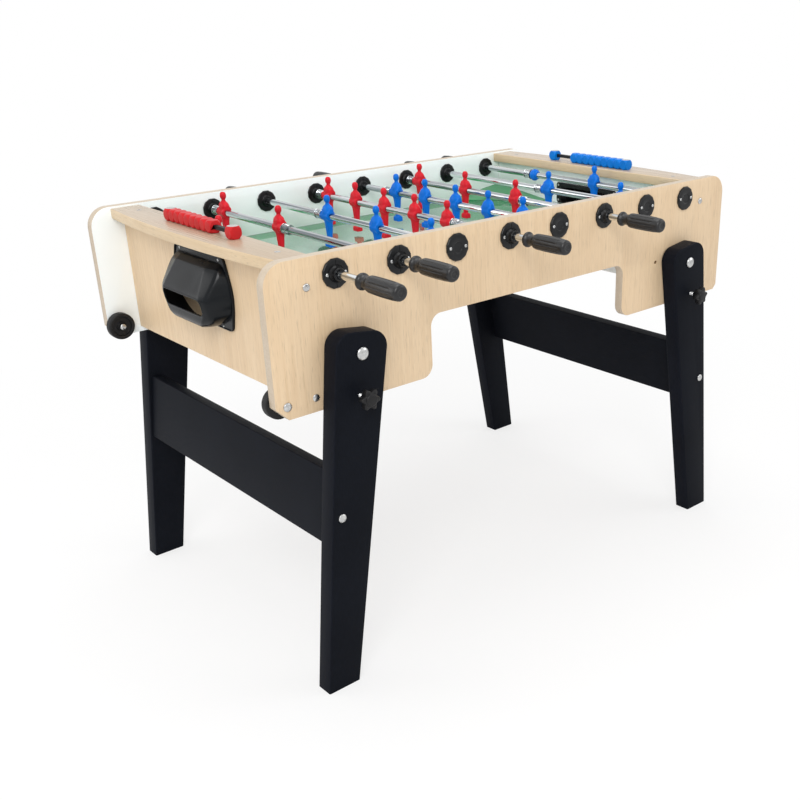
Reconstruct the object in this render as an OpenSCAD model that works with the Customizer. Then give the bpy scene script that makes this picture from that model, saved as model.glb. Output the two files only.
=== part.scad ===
// Folding foosball table with telescopic rods.
// Units are millimetres. X runs along the table, Y across it and Z up.
// The origin is on the floor, under the middle of the table.

/* [Cabinet] */
// Height of the side panels' top edge above the floor
rim_height = 905; // [860:5:940]
// Distance between the outer faces of the side panels
table_width = 756; // [700:2:800]
// Thickness of the side panels
panel_t = 22; // [18:1:25]
// Left end of the side panels, measured from the middle
panel_left = 670; // [640:5:700]
// Right end of the side panels, measured from the middle
panel_right = 676; // [640:5:700]
// Height of the side panels' bottom edge
panel_bottom = 607; // [580:1:640]
// Height of the notch between the two deep ends of a side panel
notch_top = 738; // [700:1:760]
// Half width of that notch
notch_half = 296; // [280:1:320]
// Distance from the middle to an end panel's inner face
end_inner = 571; // [565:1:580]
// Thickness of the end panels
end_t = 22; // [18:1:24]
// Height of the end panels' bottom edge
end_bottom = 620; // [600:1:650]
// Thickness of the end boards
board_t = 23; // [18:1:28]
// How far the end boards lie below the rim
board_drop = 4; // [0:1:10]
// Distance from the middle to an end board's inner edge
board_inner = 552; // [540:1:590]

/* [Field] */
// Height of the glass above the floor
field_z = 787; // [770:1:800]
// Thickness of the glass
glass_t = 4; // [3:1:6]
// Thickness of the board under the glass
field_t = 12; // [9:1:18]
// Depth of the grooves that hold that board
groove = 6; // [3:1:8]
// Half width of the goal mouths
goal_half = 95; // [80:1:110]
// Height of the goal mouths
goal_h = 43; // [40:1:60]
// Length of a corner ramp along the side panel
ramp_x = 190; // [150:1:230]
// Length of a corner ramp along the end panel
ramp_y = 210; // [150:2:212]
// Height of a corner ramp in its corner
ramp_h = 26; // [10:1:35]

/* [Rods] */
// Distance between two rods
rod_pitch = 148; // [146:1:150]
// Height of the rods
rod_z = 865; // [860:1:870]
// Outer radius of the sliding tube
tube_r = 8; // [7:0.1:9]
// Radius of the inner rod
inner_r = 6.45; // [5:0.05:7]
// Radial clearance of everything that turns or slides
run_gap = 0.08; // [0.01:0.01:0.1]
// Length of the rubber grips
grip_len = 118; // [100:1:140]
// Distance from the rim panel to a grip when its rod is pushed in
grip_gap = 47; // [30:1:60]

/* [Players] */
// Radius that a player's foot sweeps
foot_r = 72.5; // [60:0.5:73]
// Radius that a player's head sweeps
head_r = 48.5; // [40:0.5:50]
// Half width of a player's hub along the rod
hub_half = 13.5; // [10:0.5:14]

/* [Legs] */
// Distance from the middle to the leg pivots
pivot_x = 499; // [480:1:520]
// Height of the leg pivots
pivot_z = 715; // [700:1:730]
// Distance from the middle to the feet
foot_x = 601; // [560:1:640]
// Thickness of a leg
leg_t = 42; // [30:1:45]
// Width of a leg at its top
leg_top_w = 120; // [100:1:130]
// Width of a leg at its foot
leg_foot_w = 74; // [60:1:90]
// Angle below level at which the left frame lies when folded
fold_left = 6; // [4:0.5:8]
// Angle above level at which the right frame lies when folded
fold_right = 5; // [4:0.5:6]
// Distance from a pivot to its locking knob
knob_r = 82; // [70:1:110]

/* [Scoring] */
// Number of counters that slide on each bar
counters = 8; // [5:1:10]
// Distance between two counters that touch
counter_pitch = 22.6; // [20:0.1:26]
// Free length of the bar
counter_gap = 58.6; // [20:0.2:70]

/* [Hidden] */
$fn = 48;
pw = table_width / 2;                 // outer face of a side panel
pi_y = pw - panel_t;                  // inner face of a side panel
board_z = rim_height - board_drop;    // top of the end boards
board_bottom = board_z - board_t;
bow_x = 641;                          // furthest reach of an end board's bow
bow_r = (pow(pi_y, 2) + pow(21, 2)) / 42;
bow_angle = asin((pi_y - 0.3) / bow_r);
field_low = field_z - glass_t - field_t;
ramp_depth = ramp_x * ramp_y / norm([ramp_x, ramp_y]);
lean = atan2(foot_x - pivot_x, pivot_z);
leg_y = pw + 1;                       // inner face of a leg
leg_out = leg_y + leg_t;              // outer face of a leg
flange_t = 5;
nose = 12;
stop_y = pi_y - 11;                   // where a spring meets its bearing
tube_bore = inner_r + run_gap;
bearing_bore = tube_r + run_gap;
end_outer = end_inner + end_t;
wheel_x = -645;
wheel_z = 634;
wheel_r = 31;
wheel_w = 20;
bar_x = 582;
cube_z = board_z + 13;
cup_top = 860;
cup_bottom = 708;
stretch_top = 241;                    // stretcher, along the leg from the pivot
stretch_low = 397;
stretch_in = 14;                      // stretcher, across the leg from its middle
stretch_t = 28;
stretch_x = stretch_in + stretch_t / 2;
stretch_z = -331;
knob_travel = 13;                     // how far a knob is drawn back
flute_from = 34;                      // grip flutes, from the grip's inner end
flute_len = 70;

// For each rod: which side its grip is on, how many players it carries and
// how far its players stand from the middle
grip_side = [-1, -1, 1, -1, 1, -1, 1, 1];
men = [1, 2, 3, 5, 5, 3, 2, 1];
shift = [48, 176, -109, 62, -30, 106, -176, -78];
spacing = [0, 0, 245, 190, 0, 117.5];
collar = 235;                         // a goalkeeper's stop collars

function rod_x(k) = (k - 4.5) * rod_pitch;
function reach(k) = (men[k - 1] - 1) / 2 * spacing[men[k - 1]];
function stop_at(k) = men[k - 1] == 1 ? collar + 27 : reach(k) + 45;
function travel(k) = stop_y - stop_at(k);
function arc(c, r, a, b, n = 8) =
    [for (i = [0 : n]) let (t = a + (b - a) * i / n) c + r * [cos(t), sin(t)]];
function both(half) = concat(half, [for (i = [len(half) - 1 : -1 : 0]) [-half[i][0], half[i][1]]]);

// ---------- helpers ----------

// Stands a profile drawn in X and Z between two Y positions
module slab(y0, y1) translate([0, y1, 0]) rotate([90, 0, 0]) linear_extrude(y1 - y0) children();

// Stands a profile drawn in Y and Z between two X positions
module plate(x0, x1) translate([x0, 0, 0]) rotate([90, 0, 90]) linear_extrude(x1 - x0) children();

// A round bar along Y
module y_bar(x, z, r, y0, y1)
    translate([x, max(y0, y1), z]) rotate([90, 0, 0]) cylinder(r = r, h = abs(y1 - y0));

// A revolved shape whose axis runs along Y, away from the middle on side s
module turned(x, y, z, s) translate([x, y, z]) rotate([s > 0 ? -90 : 90, 0, 0]) children();

// Does the same thing at both ends, the right end turned half a turn
module both_ends() { children(); rotate([0, 0, 180]) children(); }

// A rectangle with rounded corners, centred across and standing on z0
module round_rect(half, z0, z1, r) polygon(concat(
    arc([half - r, z0 + r], r, -90, 0), arc([half - r, z1 - r], r, 0, 90),
    arc([-half + r, z1 - r], r, 90, 180), arc([-half + r, z0 + r], r, 180, 270)));

// A screw with a shallow domed head, pointing down from the origin
module dome(r, h, shank_r, shank_len) {
    intersection() {
        translate([0, 0, h - (r * r + h * h) / (2 * h)]) sphere(r = (r * r + h * h) / (2 * h));
        cylinder(r = r + 1, h = h + 1);
    }
    translate([0, 0, -shank_len]) cylinder(r = shank_r, h = shank_len);
}

// ---------- cabinet ----------

module side_outline(big = 27, small = 12, top_r = 45, in_r = 26, low_r = 27)
    polygon(concat(
        [[-panel_left, panel_bottom + big], [-panel_left + big, panel_bottom]],
        arc([-notch_half - low_r, panel_bottom + low_r], low_r, -90, 0),
        arc([-notch_half + in_r, notch_top - in_r], in_r, 180, 90),
        arc([notch_half - in_r, notch_top - in_r], in_r, 90, 0),
        arc([notch_half + low_r, panel_bottom + low_r], low_r, 180, 270),
        [[panel_right - small, panel_bottom], [panel_right, panel_bottom + small]],
        arc([panel_right - top_r, rim_height - top_r], top_r, 0, 90),
        arc([-panel_left + top_r, rim_height - top_r], top_r, 90, 180)));

// Where the eight long bolts hold the end panels
module at_panel_bolts() for (s = [-1, 1], z = [636, 850])
    translate([s * (end_inner + end_t / 2), 0, z]) children();

// The knob holes of one frame: standing and folded
function knob_hole(side, folded) = folded
    ? (side < 0
        ? [-pivot_x + knob_r * cos(fold_left), pivot_z - knob_r * sin(fold_left)]
        : [pivot_x - knob_r * cos(fold_right), pivot_z + knob_r * sin(fold_right)])
    : [side * (pivot_x + knob_r * sin(lean)), pivot_z - knob_r * cos(lean)];

// One side panel; s is its side of the table
module side_panel(s) difference() {
    slab(min(s * pw, s * pi_y), max(s * pw, s * pi_y)) side_outline();
    for (k = [1 : 8]) {
        y_bar(rod_x(k), rod_z, 14, s * (pi_y - 1), s * (pw + 1));
        for (e = [-1, 1]) y_bar(rod_x(k) + e * 20, rod_z, 1.6, s * (pi_y - 1), s * (pw + 1));
    }
    for (e = [-1, 1]) {
        y_bar(e * pivot_x, pivot_z, 5.05, s * (pi_y - 1), s * (pw + 1));
        for (folded = [false, true])
            y_bar(knob_hole(e, folded)[0], knob_hole(e, folded)[1], 4.1, s * (pw - 15), s * (pw + 1));
    }
    at_panel_bolts() y_bar(0, 0, 3.1, s * (pi_y - 1), s * (pw + 1));
    y_bar(wheel_x, wheel_z, 4.05, s * (pi_y - 1), s * (pw + 1));
    translate([-end_inner - groove - 0.2, s > 0 ? pi_y - 1 : -pi_y - groove - 0.2, field_low - 0.1])
        cube([2 * (end_inner + groove + 0.2), groove + 1.2, field_t + 0.2]);
}

module front_panel() color("BurlyWood") side_panel(-1);
module rear_panel() color("BurlyWood") side_panel(1);

module end_panel() difference() {
    plate(-end_outer, -end_inner) difference() {
        translate([-pi_y, end_bottom]) square([2 * pi_y, board_bottom - end_bottom]);
        round_rect(goal_half + 2.2, field_z, field_z + goal_h + 4.2, 10);
    }
    translate([-end_inner - groove, -pi_y - 1, field_low - 0.1])
        cube([groove + 1, 2 * pi_y + 2, field_t + 0.2]);
    for (s = [-1, 1], z = [636, 850])
        y_bar(-end_inner - end_t / 2, z, 3.1, s * (pi_y - 30), s * (pi_y + 1));
    at_cup_screws() rotate([0, 90, 0]) cylinder(r = 1.6, h = 14);
    at_frame_screws() rotate([0, -90, 0]) cylinder(r = 1.6, h = 10);
}
module end_panels() color("BurlyWood") both_ends() end_panel();

// End board: straight inside, bowed outside
module top_board() difference() {
    translate([0, 0, board_bottom]) linear_extrude(board_t) polygon(concat(
        [[-board_inner, -pi_y + 0.3], [-board_inner, pi_y - 0.3]],
        arc([-bow_x + bow_r, 0], bow_r, 180 - bow_angle, 180 + bow_angle, 24)));
    at_board_screws() translate([0, 0, -1]) cylinder(r = 2.1, h = board_t + 2);
}
module top_boards() color("Tan") both_ends() top_board();

module playfield() color("SeaGreen")
    translate([-end_inner - groove, -pi_y - groove, field_low])
        cube([2 * (end_inner + groove), 2 * (pi_y + groove), field_t]);

module field_glass() color("PaleGreen")
    translate([-end_inner + 0.5, -pi_y + 0.5, field_z - glass_t])
        cube([2 * end_inner - 1, 2 * pi_y - 1, glass_t]);

// Wedge that leads the ball back from a corner, its low edge across the corner
module corner_ramp() translate([end_inner - 0.2, pi_y - 0.2, field_z]) rotate([0, 0, 180]) intersection() {
    linear_extrude(ramp_h) polygon([[0, 0], [ramp_x, 0], [0, ramp_y]]);
    translate([ramp_x, 0, 0]) rotate([0, 0, atan2(ramp_y, -ramp_x)]) translate([-1, 0, 0])
        rotate([90, 0, 90]) linear_extrude(ramp_x + ramp_y)
            polygon([[0, 0], [ramp_depth, 0], [ramp_depth, ramp_h], [0, 0.8]]);
}
module corner_ramps() color("SeaGreen") both_ends() {
    corner_ramp();
    mirror([0, 1, 0]) corner_ramp();
}

// Moulded frame that lines a goal mouth
module goal_frame() difference() {
    union() {
        plate(-end_inner, -end_inner + 2)
            round_rect(goal_half + 16, field_z + 0.4, field_z + goal_h + 14, 8);
        plate(-end_outer, -end_inner)
            round_rect(goal_half + 2, field_z + 0.2, field_z + goal_h + 4, 10);
    }
    plate(-end_outer - 1, -end_inner + 3) round_rect(goal_half, field_z + 2, field_z + 2 + goal_h, 9);
    at_frame_screws() rotate([0, -90, 0]) translate([0, 0, -3]) cylinder(r = 1.6, h = 6);
}
module goal_frames() color("DimGray") both_ends() goal_frame();

// The ball cup, shrunk by w: its section in X and Z, its plan and its outline
// against the end panel
module cup_section(w) polygon([[0, 711 + w], [36 - w, 711 + w], [46 - w, 718 + w], [51 - w, 729 + w / 2],
    [50 - w, 741], [57 - w, 781 - w / 2], [26 - w / 2, 836 - w], [10, 847 - w], [0, 847 - w]]);
module cup_plan(w) polygon([for (p = both([[116 - w, 0], [104 - w, 26 - w / 3], [95 - w, 44 - w / 2],
    [79 - w, 57 - w]])) [p[1], p[0]]]);
module cup_outline(w) polygon(both([for (p = [[52, 711], [78, 719], [98, 735], [110, 757], [113, 778],
    [108, 812], [97, 840], [88, 847]]) [p[0] - w, p[1] > 779 ? p[1] - w : p[1] < 740 ? p[1] + w : p[1]]]));
module cup_solid(w) intersection() {
    mirror([1, 0, 0]) slab(-116, 116) cup_section(w);
    mirror([1, 0, 0]) translate([0, 0, 700]) linear_extrude(200) cup_plan(w);
    plate(-60, 1) cup_outline(w);
}
// The flange that the cup is screwed on by
module cup_flange() polygon(both(concat(arc([99, 722], 14, -90, -10, 6),
    [[121, 752], [124, 778], [118, 812]], arc([94, 848], 12, 15, 90, 6))));
module ball_cup() difference() {
    translate([-end_outer, 0, 0]) union() {
        plate(-4, 0) cup_flange();
        cup_solid(0);
    }
    translate([-end_outer, 0, 0]) {
        translate([0.01, 0, 0]) cup_solid(3.5);
        plate(-70, -40) round_rect(77, 743, 778, 12);
    }
    at_cup_screws() rotate([0, 90, 0]) translate([0, 0, -6]) cylinder(r = 1.6, h = 12);
}
module ball_cups() color("Black") both_ends() ball_cup();

// ---------- bearings ----------

// Outer half of a rod bearing on side s, with a nose round the tube
module bearing_outer(x, s) difference() {
    union() {
        turned(x, s * pw, rod_z, s) rotate([0, 0, 15]) cylinder(r = 29, h = flange_t, $fn = 12);
        turned(x, s * (pw - panel_t / 2 + 0.1), rod_z, s) cylinder(r = 13.9, h = panel_t / 2);
        turned(x, s * (pw + flange_t), rod_z, s) rotate_extrude()
            polygon([[0, 0], [16, 0], [13, 3], [12.5, nose], [0, nose]]);
    }
    y_bar(x, rod_z, bearing_bore, s * (pi_y - 1), s * (pw + 30));
    translate([x - 0.4, s > 0 ? pw + flange_t - 1 : -pw - flange_t - 1, rod_z - 30]) cube([0.8, 2, 60]);
    for (e = [-1, 1]) y_bar(x + e * 20, rod_z, 1.6, s * (pw - 1), s * (pw + 9));
}

// Inner half; bore is the radius of its hole
module bearing_inner(x, s, bore) difference() {
    union() {
        turned(x, s * (pi_y - 4), rod_z, s) rotate([0, 0, 15]) cylinder(r = 26, h = 4, $fn = 12);
        turned(x, s * pi_y, rod_z, s) cylinder(r = 13.9, h = panel_t / 2 - 0.1);
        turned(x, s * (pi_y - 4), rod_z, -s) rotate_extrude()
            polygon([[0, 0], [14, 0], [12.5, 2], [12, 6], [0, 6]]);
    }
    y_bar(x, rod_z, bore, s * (pi_y - 12), s * (pw + 1));
    translate([x - 0.4, s > 0 ? pi_y - 5 : -pi_y + 3, rod_z - 27]) cube([0.8, 2, 54]);
    for (e = [-1, 1]) y_bar(x + e * 20, rod_z, 1.6, s * (pi_y - 3), s * (pi_y + 1));
}

// Closed half over the end of an inner rod
module end_cap(x, s) difference() {
    union() {
        turned(x, s * pw, rod_z, s) rotate([0, 0, 15]) cylinder(r = 29, h = flange_t, $fn = 12);
        turned(x, s * (pw - panel_t / 2 + 0.1), rod_z, s) cylinder(r = 13.9, h = panel_t / 2);
    }
    turned(x, s * (pw + flange_t - 1.5), rod_z, s) cylinder(r = 11, h = 3);
    y_bar(x, rod_z, tube_bore, s * (pi_y - 1), s * (pw + 1));
    for (e = [-1, 1]) y_bar(x + e * 20, rod_z, 1.6, s * (pw - 1), s * (pw + 9));
}

module rod_bearings() color("Black") for (k = [1 : 8]) {
    bearing_outer(rod_x(k), grip_side[k - 1]);
    bearing_inner(rod_x(k), grip_side[k - 1], bearing_bore);
    end_cap(rod_x(k), -grip_side[k - 1]);
    bearing_inner(rod_x(k), -grip_side[k - 1], tube_bore);
}

// ---------- fasteners ----------

// Places of the small screws, each with its shank along local -Z
module at_board_screws() for (y = [-290, 290]) translate([-bar_x, y, board_bottom]) children();
module at_cup_screws() for (s = [-1, 1], p = [[72, cup_bottom + 6], [82, cup_top - 7]])
    translate([-end_outer, s * p[0], p[1]]) children();
module at_frame_screws() for (y = [-104, 104], z = [field_z + 8, field_z + goal_h + 6])
    translate([-end_inner, y, z]) children();

module screws() color("Silver") {
    for (k = [1 : 8], s = [-1, 1], e = [-1, 1])
        turned(rod_x(k) + e * 20, s * (pw + flange_t), rod_z, s)
            dome(3.4, 1.6, 1.5, flange_t + panel_t - 1);
    both_ends() {
        translate([0, 0, board_t]) at_board_screws() dome(6, 0.8, 2, board_t);
        translate([-4, 0, 0]) at_cup_screws() rotate([0, -90, 0]) dome(3, 1.6, 1.5, 16);
        translate([2, 0, 0]) at_frame_screws() rotate([0, 90, 0]) dome(3, 1, 1.5, 10);
    }
}

module bolts() color("LightGray") for (s = [-1, 1]) {
    at_panel_bolts() turned(0, s * pw, 0, s) dome(7.5, 3.2, 3, 50);
    for (e = [-1, 1]) {
        turned(e * pivot_x, s * (leg_out + 0.5), pivot_z, s)
            dome(13, 6, 5, leg_out + 0.5 - pi_y + 8);
        difference() {
            turned(e * pivot_x, s * (pi_y - 7), pivot_z, s) cylinder(r = 9.5, h = 7, $fn = 6);
            y_bar(e * pivot_x, pivot_z, 5, s * (pi_y - 12), s * (pi_y + 1));
        }
    }
    turned(wheel_x, s * pw, wheel_z, s) dome(9, 4, 4, panel_t + wheel_w + 4);
    turned(wheel_x, s * (pi_y - wheel_w - 2.5), wheel_z, -s) dome(7, 5, 4, 1);
}

// ---------- scoring ----------

function bar_half() = ((counters + 2) * counter_pitch + counter_gap) / 2;

// A block with bulging faces, bored for the bar
module counter(y) translate([bar_x, y, cube_z]) difference() {
    intersection() {
        cube([25, counter_pitch - 0.2, 25], center = true);
        sphere(r = 16.4);
    }
    cube([8.3, 40, 8.3], center = true);
}

// The far team's counters lie against the near block, with the gap beyond them
module counter_row() for (i = [1 : counters]) counter(-bar_half() + (i + 0.5) * counter_pitch);
module blue_counters() color("DodgerBlue") counter_row();
module red_counters() color("Crimson") rotate([0, 0, 180]) counter_row();

module end_block(y) difference() {
    translate([bar_x, y, cube_z]) difference() {
        intersection() {
            translate([0, 0, -0.25]) cube([25, counter_pitch - 0.2, 25.5], center = true);
            sphere(r = 16.8);
        }
        translate([0, y > 0 ? -2.8 : 2.8, 0]) cube([8.05, counter_pitch - 0.2, 8.05], center = true);
    }
    translate([bar_x, y, cube_z + 11.5]) cylinder(r = 4.2, h = 5);
}
module counter_end_blocks() color("Crimson") both_ends() for (e = [-1, 1])
    end_block(e * (bar_half() - counter_pitch / 2));

module counter_bars() color("Black") both_ends()
    translate([bar_x - 4, -bar_half() + 3, cube_z - 4]) cube([8, 2 * bar_half() - 6, 8]);

// ---------- leg frames ----------

// Carries a leg's own frame, pivot at the origin and leg down, to side e
module at_frame(e) mirror([e < 0 ? 1 : 0, 0, 0])
    translate([pivot_x, 0, pivot_z]) rotate([0, -lean, 0]) children();

module leg_outline(r = 34, top = 42, low = 760) polygon(concat(
    [[-leg_foot_w / 2, -low], [leg_foot_w / 2, -low]],
    arc([leg_top_w / 2 - r - 1, top - r], r, 0, 90),
    arc([-leg_top_w / 2 + r + 1, top - r], r, 90, 180)));

module legs(e) difference() {
    at_frame(e) for (s = [-1, 1]) difference() {
        slab(min(s * leg_y, s * leg_out), max(s * leg_y, s * leg_out)) leg_outline();
        y_bar(0, 0, 5 + run_gap, s * (leg_y - 1), s * (leg_out + 1));
        y_bar(0, -knob_r, 4.1, s * (leg_y - 1), s * (leg_out + 1));
        y_bar(stretch_x, stretch_z, 4.05, s * (leg_y - 1), s * (leg_out + 1));
    }
    translate([-1000, -500, -200]) cube([2000, 1000, 200]);
}

module stretcher(e) at_frame(e) difference() {
    translate([stretch_in, -leg_y, -stretch_low]) cube([stretch_t, 2 * leg_y, stretch_low - stretch_top]);
    for (s = [-1, 1]) y_bar(stretch_x, stretch_z, 4.05, s * (leg_y - 45), s * (leg_y + 1));
}

module leg_bolts(e) at_frame(e) for (s = [-1, 1])
    turned(stretch_x, s * leg_out, stretch_z, s) dome(9, 4, 4, leg_t + 40);

// Lobed knob, drawn back by the length of stud that enters the panel
module knob(e, s) at_frame(e) translate([0, 0, -knob_r]) {
    turned(0, s * (leg_out + knob_travel + 0.5), 0, s) {
        rotate_extrude() polygon([[0, 0], [9, 0], [12, 9], [12, 12], [0, 12]]);
        translate([0, 0, 9]) linear_extrude(15)
            polygon([for (a = [0 : 6 : 354]) (18.5 + 3.5 * cos(6 * a)) * [cos(a), sin(a)]]);
        translate([0, 0, 23.9]) cylinder(r1 = 13, r2 = 10, h = 3);
    }
    y_bar(0, 0, 4, s * (leg_y + 1), s * (leg_out + knob_travel + 2));
}

module left_legs() color("DarkSlateGray") legs(-1);
module left_stretcher() color("DarkSlateGray") stretcher(-1);
module left_leg_bolts() color("LightGray") leg_bolts(-1);
module right_legs() color("DarkSlateGray") legs(1);
module right_stretcher() color("DarkSlateGray") stretcher(1);
module right_leg_bolts() color("LightGray") leg_bolts(1);
module left_front_knob() color("Black") knob(-1, -1);
module left_rear_knob() color("Black") knob(-1, 1);
module right_front_knob() color("Black") knob(1, -1);
module right_rear_knob() color("Black") knob(1, 1);

// Wheel on the inner face of a side panel, dished towards the middle
module wheel(s) turned(wheel_x, s * (pi_y - 1.5), wheel_z, -s) rotate_extrude() polygon([
    [4 + run_gap, 0], [wheel_r - 2, 0], [wheel_r, 2], [wheel_r, wheel_w - 3], [wheel_r - 3, wheel_w],
    [wheel_r - 8, wheel_w], [wheel_r - 10, wheel_w - 6], [11, wheel_w - 6], [10, wheel_w - 1],
    [4 + run_gap, wheel_w - 1]]);
module front_wheel() color("Black") wheel(-1);
module rear_wheel() color("Black") wheel(1);

// ---------- rods ----------

// Inner rod of rod k, held in the end cap
module inner_rod(k) color("Silver") y_bar(rod_x(k), rod_z, inner_r,
    -grip_side[k - 1] * (pw - 2), -grip_side[k - 1] * (stop_y - 2 * travel(k) - 60));

// Buffer spring of four coils between y0 and y0 + 24 along its own axis
module spring(len = 24) rotate_extrude() {
    translate([tube_r + 0.1, 0.2]) square([1.3, len - 0.4]);
    for (i = [0 : 3]) translate([tube_r + 2, 1.6 + i * (len - 3.2) / 3]) circle(r = 1.4);
}

// Sliding tube of rod k with its two springs
module rod(k) color("WhiteSmoke") {
    s = grip_side[k - 1];
    c = shift[k - 1];
    difference() {
        y_bar(rod_x(k), rod_z, tube_r,
            c + s * (pw + grip_gap + travel(k) + 100), c - s * (stop_y - travel(k)));
        y_bar(rod_x(k), rod_z, tube_bore, c + s * 900, c - s * 900);
    }
    for (e = [-1, 1]) turned(rod_x(k), c + e * (stop_at(k) - 24), rod_z, e) spring();
}

// Front and side outlines of a player
module man_front() polygon([[-10.5, -foot_r], [10.5, -foot_r], [10.5, -61], [6.5, -57], [6.9, -50],
    [8.3, -40], [9, -28], [8.8, -17], [12.6, -9], [13.8, 4], [14.4, 14], [12.8, 20.5], [7.5, 25.5],
    [4.8, 30],
    [-4.8, 30], [-7.5, 25.5], [-12.8, 20.5], [-14.4, 14], [-13.8, 4], [-12.6, -9], [-8.8, -17], [-9, -28],
    [-8.3, -40], [-6.9, -50], [-6.5, -57], [-10.5, -61]]);
module man_side() polygon([[-7, -foot_r + 0.6], [-3, -foot_r], [6, -foot_r], [8.5, -foot_r + 1], [8.5, -62],
    [5.7, -57], [5.4, -45], [7.2, -30], [9, -12], [11.6, 0], [11.4, 12], [9.4, 20], [5.4, 25.5], [4.8, 30],
    [-4.8, 30], [-5.8, 25.5], [-9.2, 20], [-10.2, 12], [-10.6, 0], [-8.6, -12], [-7.8, -30], [-5.4, -45],
    [-5.2, -57], [-7, -62]]);

// A player hanging on its rod, head up; f is the way it faces along X
module man(f) difference() {
    union() {
        intersection() {
            slab(-20, 20) mirror([f < 0 ? 1 : 0, 0]) man_side();
            plate(-20, 20) man_front();
        }
        translate([0, 0, head_r - 20.5]) rotate_extrude() polygon(concat([[0, 0], [4.4, 0]],
            arc([0.6, 11.3], 7.4, -30, 60, 6), [[2.7, 19.8], [0, 20.5]]));
        translate([0, hub_half, 0]) rotate([90, 0, 0]) cylinder(r = 12.8, h = 2 * hub_half);
    }
    y_bar(0, 0, tube_r + 0.05, -20, 20);
}

// A sleeve round the tube, from y0 outwards on side e
module sleeve(y0, len, r0, r1, e) turned(0, e * y0, 0, e) difference() {
    cylinder(r1 = r0, r2 = r1, h = len);
    translate([0, 0, -1]) cylinder(r = tube_r + 0.05, h = len + 2);
}

// The players of rod k, with the sleeves that carry its stops
module players(k) {
    red = grip_side[k - 1] < 0;
    color(red ? "Crimson" : "DodgerBlue") translate([rod_x(k), shift[k - 1], rod_z]) {
        for (i = [0 : men[k - 1] - 1])
            translate([0, (i - (men[k - 1] - 1) / 2) * spacing[men[k - 1]], 0]) man(red ? 1 : -1);
        for (e = [-1, 1])
            if (men[k - 1] == 1) {
                sleeve(collar - 24, 12, 10, 16, e);
                sleeve(collar - 11.8, 10, 16, 13.5, e);
                sleeve(collar - 1.6, 4.4, 13.5, 13.5, e);
            } else sleeve(reach(k) + hub_half + 0.2, 6.9, 11.5, 10, e);
    }
}

// Rubber grip: ring, neck and barrel, hollow for the tube and dished at its end
module grip_shape() rotate_extrude() polygon(concat([[tube_r + 0.05, 0], [12.5, 0]],
    arc([11.5, 5], 4.6, -70, 70, 6), [[11.6, 14], [11.4, 18]], arc([12, 26], 4, 190, 90, 3),
    [[16.2, 36], [16.8, 60], [16.4, 90], [15.6, 106]], arc([9.6, 112], 6, 0, 90, 6),
    [[6.5, grip_len], [6.5, grip_len - 1.2], [0, grip_len - 1.2], [0, 100.5], [tube_r + 0.05, 100.5]]));

// The barrel has twelve flutes between its plain ends
module grip() intersection() {
    grip_shape();
    union() {
        translate([0, 0, -1]) cylinder(r = 20, h = flute_from + 1.01);
        translate([0, 0, flute_from]) linear_extrude(flute_len)
            polygon([for (i = [0 : 11], p = [[18, 6], [15.7, 11], [15.7, 19], [18, 24]])
                let (a = 30 * i + p[1]) p[0] * [cos(a), sin(a)]]);
        translate([0, 0, flute_from + flute_len - 0.01]) cylinder(r = 20, h = 20);
    }
}
module handle(k) color("Black")
    turned(rod_x(k), shift[k - 1] + grip_side[k - 1] * (pw + grip_gap + travel(k)), rod_z,
        grip_side[k - 1]) grip();

// ---------- nodes ----------

front_panel();
rear_panel();
end_panels();
top_boards();
playfield();
field_glass();
corner_ramps();
goal_frames();
ball_cups();
rod_bearings();
screws();
bolts();
counter_bars();
counter_end_blocks();
red_counters();
blue_counters();
left_legs();
left_stretcher();
left_leg_bolts();
right_legs();
right_stretcher();
right_leg_bolts();
front_wheel();
rear_wheel();
left_front_knob();
left_rear_knob();
right_front_knob();
right_rear_knob();
for (k = [1 : 8]) {
    inner_rod(k);
    rod(k);
    players(k);
    handle(k);
}
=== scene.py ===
# Folding foosball table: beech cabinet, telescopic rods, black folding legs.
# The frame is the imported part's: X along the table, Y across it, Z up, origin on
# the floor under the middle. Lengths are in metres unless a comment says otherwise.
import math

import bmesh
import bpy
import numpy as np
from mathutils import Matrix, Vector
from mathutils.bvhtree import BVHTree


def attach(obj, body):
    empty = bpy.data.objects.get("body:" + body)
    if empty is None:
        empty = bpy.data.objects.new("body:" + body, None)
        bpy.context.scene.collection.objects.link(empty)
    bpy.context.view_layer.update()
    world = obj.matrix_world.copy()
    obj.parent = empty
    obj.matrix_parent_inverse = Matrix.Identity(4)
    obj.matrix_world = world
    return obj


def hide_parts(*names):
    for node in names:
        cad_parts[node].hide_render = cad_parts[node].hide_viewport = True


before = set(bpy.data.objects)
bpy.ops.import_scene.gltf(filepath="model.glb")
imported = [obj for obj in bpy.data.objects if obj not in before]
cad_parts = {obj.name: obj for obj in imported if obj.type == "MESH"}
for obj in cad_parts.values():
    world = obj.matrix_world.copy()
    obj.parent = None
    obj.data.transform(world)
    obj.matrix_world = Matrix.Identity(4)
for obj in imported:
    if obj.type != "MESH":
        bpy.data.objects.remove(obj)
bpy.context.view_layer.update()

# ---------------------------------------------------------------- studio
# A white floor that runs into a white surround, four soft lamps and a plain
# camera. The floor keeps a faint shadow under the legs.


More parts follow.
